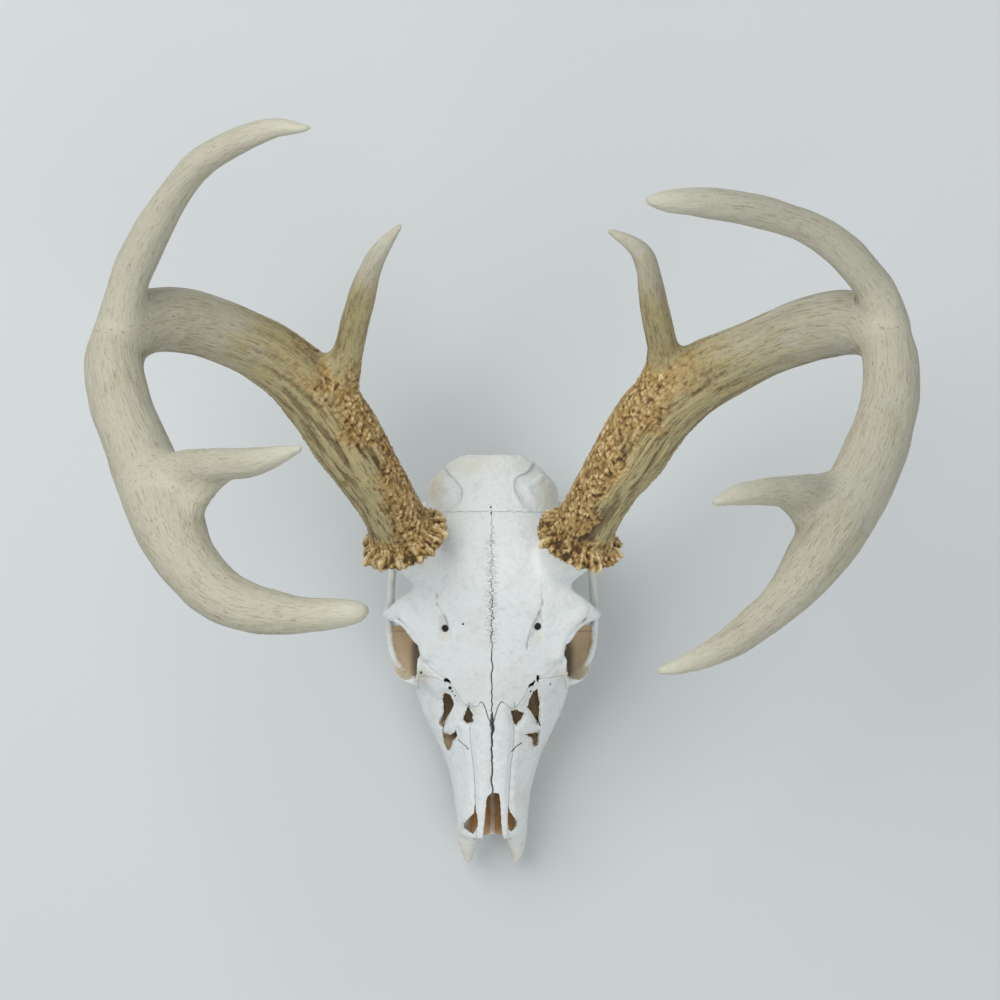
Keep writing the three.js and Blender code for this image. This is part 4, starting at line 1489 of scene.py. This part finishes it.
@dataclass
class Antler:
    """One antler: a beam with a burr, a brow tine and two more tines."""

    side: Side
    branches: tuple[Branch, ...]
    webs: tuple[Branch, ...]
    rough_length: float = 175.0

    def build(self) -> Clay:
        """Makes the antler with its burr, grooves and beads."""
        clay = Clay(f"antler_{self.side.label}")
        for branch in (*self.branches, *self.webs):
            clay.add(branch.build())
        clay.add(self.burr())
        clay.remesh(1.6).smooth(10)
        points = clay.points
        forks = np.zeros(len(points))
        for branch in self.branches[1:]:
            middle = np.array(branch.rows[0][:3]) * 0.35 + np.array(branch.rows[1][:3]) * 0.65
            forks = np.maximum(forks, bump(np.linalg.norm(points - middle, axis=1), 38))
        clay.smooth_where(np.clip(forks * 1.4, 0, 1), 80)
        clay.remesh(ANTLER_VOXEL).smooth(2)
        around = self.coordinates(clay.points)
        inward = clay.normals @ np.array([-0.85 * self.side.value, 0.1, 0.42])
        self.divide(clay, (around.run < 118) & (clay.points[:, 1] < 75) & ((inward > -0.25) | (around.run < 20)))
        self.sculpt(clay)
        return clay

    def divide(self, clay: Clay, chosen: Points) -> None:
        """Divides the faces between the chosen vertices, so that fine beads can be cut there."""
        part = bmesh.new()
        part.from_mesh(clay.mesh)
        edges = [edge for edge in part.edges if chosen[edge.verts[0].index] and chosen[edge.verts[1].index]]
        bmesh.ops.subdivide_edges(part, edges=edges, cuts=1, use_grid_fill=True)
        part.to_mesh(clay.mesh)
        part.free()

    def burr(self) -> bmesh.types.BMesh:
        """The swollen ring at the foot of the beam."""
        places, _, _ = self.branches[0].samples()
        axis = Vector(places[4] - places[0]).normalized()
        part = bmesh.new()
        turn = axis.to_track_quat("Z", "Y").to_matrix().to_4x4()
        place = Matrix.Translation(Vector(places[0]) + axis * 2.4) @ turn @ Matrix.Diagonal((26, 26, 6, 1))
        bmesh.ops.create_uvsphere(part, u_segments=40, v_segments=20, radius=1, matrix=place)
        return part

    def coordinates(self, points: Points) -> Surroundings:
        """Finds for each point the nearest run and the place along and around it.

        Args:
            points: places on the antler.

        Returns:
            Where each point is on its run.
        """
        gaps, nearest = [], []
        lines = [branch.samples() for branch in self.branches]
        for place, radius, _ in lines:
            gap, index = np.empty(len(points)), np.empty(len(points), int)
            for start in range(0, len(points), 8000):
                block = points[start : start + 8000]
                away = np.linalg.norm(block[:, None] - place[None], axis=2) - radius[None]
                index[start : start + 8000] = away.argmin(axis=1)
                gap[start : start + 8000] = away.min(axis=1)
            gaps.append(gap)
            nearest.append(index)
        ordered = np.sort(np.array(gaps), axis=0)
        owner = np.array(gaps).argmin(axis=0)
        values = np.zeros((len(points), 7))
        for number, (place, radius, run) in enumerate(lines):
            mine = owner == number
            i = nearest[number][mine]
            _, upright, sideways = cross_frames(place, (0, 0, 1))
            arm = points[mine] - place[i]
            angle = np.arctan2((arm * upright[i]).sum(axis=1), (arm * sideways[i]).sum(axis=1))
            out = arm / np.linalg.norm(arm, axis=1)[:, None]
            values[mine] = np.column_stack([run[i], angle, radius[i], run[-1] - run[i], out])
        run, angle, radius, tip = values[:, :4].T
        return Surroundings(owner, run, angle, radius, tip, values[:, 4:], fade(ordered[1] - ordered[0], 0, 8))

    def sculpt(self, clay: Clay) -> None:
        """Cuts grooves, pits and beads into the skin and stores what the finish reads."""
        points = clay.points
        hollow = clay_hollow(clay)
        at = self.coordinates(points)
        wrapped = np.stack([np.cos(at.angle) * at.radius, np.sin(at.angle) * at.radius, at.run], axis=1)
        on_beam = at.owner == 0
        reach = np.where(on_beam, at.run, np.where(at.owner == 1, 95 + at.run * 1.5, 400.0))
        seed = 3.0 + self.side.value
        base = 1 - fade(reach, 60, self.rough_length)
        inward = clay.normals @ np.array([-0.85 * self.side.value, 0.1, 0.42])
        patchy = 0.5 * grain(points, 15.0, 3, 5.0)
        pearled = fade(inward + patchy, -0.05, 0.95) * (1 - fade(reach + 50 * patchy, 105, 170))
        foot = 1 - fade(at.run, 8, 24)
        pearled = np.maximum(pearled, foot * on_beam * 0.8)
        burr = bump(at.run - 1.0, 9.5) * on_beam
        warp = 1.2 * np.column_stack([grain(points, 5.0, 2, k) for k in (31.0, 47.0, 59.0)])
        large = np.clip(beads(points + warp, 2.7, 11.0 + seed), -0.5, 1)
        small = np.clip(beads(points + warp, 1.7, 21.0 + seed), -0.5, 1)
        round_run = np.stack([np.cos(at.angle) * 22, np.sin(at.angle) * 22, at.run * 0.2], axis=1)
        frill = grain(round_run + 0.5 * warp, 2.3, 2, 13.0 + seed)
        vary = np.clip(0.75 + 0.8 * grain(points, 4.5, 2, 17.0), 0.1, 1.6)
        grooves = grain(wrapped, (4.2, 4.2, 46.0), 3, seed)
        ribs = grain(wrapped, (1.7, 1.7, 20.0), 2, 7.0)
        nicks = np.clip(grain(wrapped, (1.6, 1.6, 7.0), 2, 71.0) - 0.25, 0, 1)
        swell = grain(points, 26.0, 2, 5.0)
        pearls = (0.95 * large + 0.55 * small) * vary
        spines = np.clip(beads((points + warp * 1.5), 4.6, 4.0 + seed), -0.7, 1)
        cut = grooves * (0.35 + 1.1 * base) + ribs * (0.22 + 0.6 * base) - nicks * (0.3 + 1.6 * base)
        change = at.clear * cut * (1 - 0.5 * pearled) + pearls * pearled + swell * 0.6 * (1 - base)
        change += burr * (1.7 * spines * vary + 0.7 * small + 2.0 * frill)
        change *= fade(at.tip, 0, 25)
        clay.push(change)
        relief = cut * (1 - pearled) * at.clear + pearls * pearled + burr * (spines * 0.6 + frill)
        # Painted shade: darker in crotches, on undersides and on steep sides, standing partly for brown staining there.
        dark = np.clip(hollow * 0.9, 0, 1) + 0.45 * fade(-at.away[:, 2], 0.1, 0.8)
        steep = 1 - np.abs(clay.normals[:, 2])
        dark += 0.5 * fade(steep, 0.5, 0.9) * (1 - 0.65 * fade(np.where(at.owner > 1, 400, at.run), 190, 320))
        store(clay.mesh, "run", wrapped)
        store(clay.mesh, "rough", np.clip(pearled + burr, 0, 1))
        greenish = np.where(on_beam, 1.1 - 0.95 * fade(at.run, 90, 250), 0.95 - 0.6 * fade(at.run, 45, 100))
        store(clay.mesh, "olive", np.clip(greenish + 0.25 * swell, 0, 1) * (at.owner < 2))
        store(clay.mesh, "height", np.clip(0.5 + 0.42 * relief, 0, 1))
        store(clay.mesh, "shade", np.clip(dark, 0, 1))
        store(clay.mesh, "clear", fade(at.clear, 0, 0.4))
        store(clay.mesh, "polish", (1 - fade(at.tip, 4, 46)) * 0.8)


def clay_hollow(clay: Clay) -> Points:
    """How hollow the surface is at each vertex: above 0 in hollows and below 0 on ridges."""
    probe = Clay("probe")
    probe.object.data = clay.mesh.copy()
    probe.smooth(24)
    shift = ((probe.points - clay.points) * clay.normals).sum(axis=1)
    probe.remove()
    return shift


RIGHT_BRANCHES = (
    Branch(
        "beam",
        (
            (-49, -24, 124.6, 18.5),
            (-56, -8, 137, 17),
            (-65, 9, 150, 17.5),
            (-79, 32, 163, 19.5),
            (-91, 51, 173, 20),
            (-112, 73, 187, 18),
            (-138, 88, 205, 17),
            (-166, 96, 224, 17.5),
            (-186, 92, 243, 17),
            (-195, 76, 261, 15.5),
            (-190, 50, 279, 16),
            (-177, 23, 298, 16.7),
            (-162, -7, 320, 18.3),
            (-148, -31, 338, 15),
            (-126, -49, 352, 13),
            (-97, -55, 363, 10),
            (-69, -54, 370, 6.8),
            (-57, -52, 373, 4),
        ),
    ),
    Branch(
        "brow tine",
        (
            (-88, 56, 174, 14),
            (-79, 79, 188, 9.8),
            (-72, 101, 209, 7.8),
            (-62, 127, 231, 6),
            (-46, 146, 248, 1.8),
        ),
    ),
    Branch(
        "second tine",
        (
            (-194, 82, 257, 14),
            (-190, 108, 260, 11.5),
            (-179, 131, 268, 10.5),
            (-163, 154, 284, 8.5),
            (-143, 172, 301, 7.8),
            (-112, 184, 320, 6),
            (-87, 183, 333, 1.8),
        ),
    ),
    Branch(
        "third tine",
        (
            (-168, 6, 312, 16),
            (-149, 14, 324, 12),
            (-134, 17, 346, 8.3),
            (-109, 19, 370, 6.5),
            (-87, 25, 390, 1.8),
        ),
    ),
)
LEFT_BRANCHES = (
    Branch(
        "beam",
        (
            (49, -24, 124.6, 18.5),
            (56, -8, 137, 17),
            (65, 8, 150, 17.5),
            (79, 29, 162, 20),
            (93, 50, 173, 20.5),
            (116, 68, 187, 19),
            (145, 82, 205, 16.7),
            (172, 92, 223, 17.8),
            (195, 93, 241, 17),
            (206, 80, 260, 14.5),
            (205, 52, 277, 15),
            (194, 23, 296, 16.2),
            (178, -4, 316, 17),
            (162, -26, 334, 15.2),
            (142, -49, 350, 11),
            (115, -69, 364, 7.7),
            (91, -79, 373, 4.6),
            (78, -82, 377, 2),
        ),
    ),
    Branch(
        "brow tine",
        (
            (91, 55, 173, 14),
            (94, 77, 187, 10.2),
            (88, 102, 211, 8),
            (80, 130, 235, 5.8),
            (59, 143, 247, 1.8),
        ),
    ),
    Branch(
        "second tine",
        (
            (207, 88, 257, 14),
            (200, 108, 262, 11.2),
            (179.5, 129, 276, 10),
            (155, 141, 291, 8.6),
            (121, 147.5, 310, 8.3),
            (90, 148, 324, 6.2),
            (75, 148, 331, 2),
        ),
    ),
    Branch(
        "third tine",
        (
            (182, -1, 309, 16),
            (164, 2.5, 321, 12),
            (146, 4, 346, 8.3),
            (122, 3, 367, 5.9),
            (104, -2, 380, 2),
        ),
    ),
)

RIGHT_WEBS = (
    Branch("fork web", ((-122, 14, 350, 3), (-133, 12, 342, 6), (-143, 3, 334, 7), (-149, -10, 333, 6), (-149, -22, 335, 4))),
)
LEFT_WEBS = (
    Branch("fork web", ((130, 2, 352, 3), (142, 3, 342, 6), (152, -4, 334, 7), (158, -14, 330, 7), (157, -26, 332, 4))),
)


# ------------------------------------------------------------------ stage
@dataclass
class Stage:
    """Floor, lights and camera."""

    floor_size: float = 6.0
    sun_strength: float = 1.6

    def build(self) -> None:
        """Makes the stage."""
        part = bmesh.new()
        bmesh.ops.create_grid(part, x_segments=1, y_segments=1, size=self.floor_size / 2)
        mesh = bpy.data.meshes.new("floor")
        part.to_mesh(mesh)
        part.free()
        mesh.materials.append(FloorFinish().make())
        floor = bpy.data.objects.new("floor", mesh)
        bpy.context.scene.collection.objects.link(floor)
        floor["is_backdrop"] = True
        self.light("key", (-0.9, 0.95, 1.9), 1.7, 34)
        self.light("fill", (0.7, -1.3, 1.8), 1.8, 13)
        world = bpy.data.worlds.new("studio")
        world.use_nodes = True
        world.node_tree.nodes["Background"].inputs["Color"].default_value = (0.82, 0.88, 0.92, 1)
        world.node_tree.nodes["Background"].inputs["Strength"].default_value = 0.5
        bpy.context.scene.world = world
        bpy.context.scene.view_settings.view_transform = "Standard"
        self.camera()

    def light(self, name: str, place: Sequence[float], size: float, power: float) -> None:
        """Adds a soft square light that points at the skull.

        Args:
            name: its name.
            place: its place in metres.
            size: the length of its sides in metres.
            power: watts.
        """
        lamp = bpy.data.lights.new(name, "AREA")
        lamp.size = size
        lamp.energy = power
        holder = bpy.data.objects.new(name, lamp)
        holder.location = place
        holder.rotation_euler = (Vector((0, 0, 0.1)) - Vector(place)).to_track_quat("-Z", "Y").to_euler()
        bpy.context.scene.collection.objects.link(holder)

    def camera(self) -> None:
        """Hangs the camera over the skull, looking straight down with the nose toward the bottom."""
        lens = bpy.data.cameras.new("camera")
        lens.sensor_width = 36
        lens.lens = lens.sensor_width * CAMERA_HEIGHT / VIEW_WIDTH
        lens.clip_end = 20
        holder = bpy.data.objects.new("camera", lens)
        holder.location = (Vector((CAMERA_X, 0, CAMERA_HEIGHT)) - Vector(BOX_CENTRE)) * MM
        bpy.context.scene.collection.objects.link(holder)
        bpy.context.scene.camera = holder


def corners(box: tuple[Vector, Vector]) -> list[list[float]]:
    """Two corners as plain lists."""
    return [list(corner) for corner in box]


def main() -> None:
    """Builds the skull, the antlers and the stage."""
    Stage().build()
    bone = BoneFinish().make()
    horn = AntlerFinish().make()
    bones = Skull().build()
    parts = ("frontal", "nasal", "maxilla", "zygomatic")
    lost = [name for name in (f"{part}_{side.label}" for part in parts for side in Side) if name not in bones]
    for name, clay in bones.items():
        place_piece(clay, bone, [name, *lost] if name == "braincase" else [name])
    enamel = ToothFinish().make()
    for side in Side:
        row = tooth_row(side.value)
        store(row.mesh, "ink", 0.6 * fade(row.points[:, 2], 8, 14) + 0.5 * (row.points[:, 2] < 2.2))
        place_piece(row, enamel, [])
    names = ("beam_base", "beam_mid", "beam_front", "beam_tip", "brow_tine", "second_tine", "third_tine")
    for side, branches, webs in ((Side.RIGHT, RIGHT_BRANCHES, RIGHT_WEBS), (Side.LEFT, LEFT_BRANCHES, LEFT_WEBS)):
        antler = Antler(side, branches, webs).build()
        place_piece(antler, horn, [f"{name}_{side.label}" for name in names])
    {"cad": corners(CAD_BOX), "visual": corners(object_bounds())}


if __name__ == "__main__":
    main()
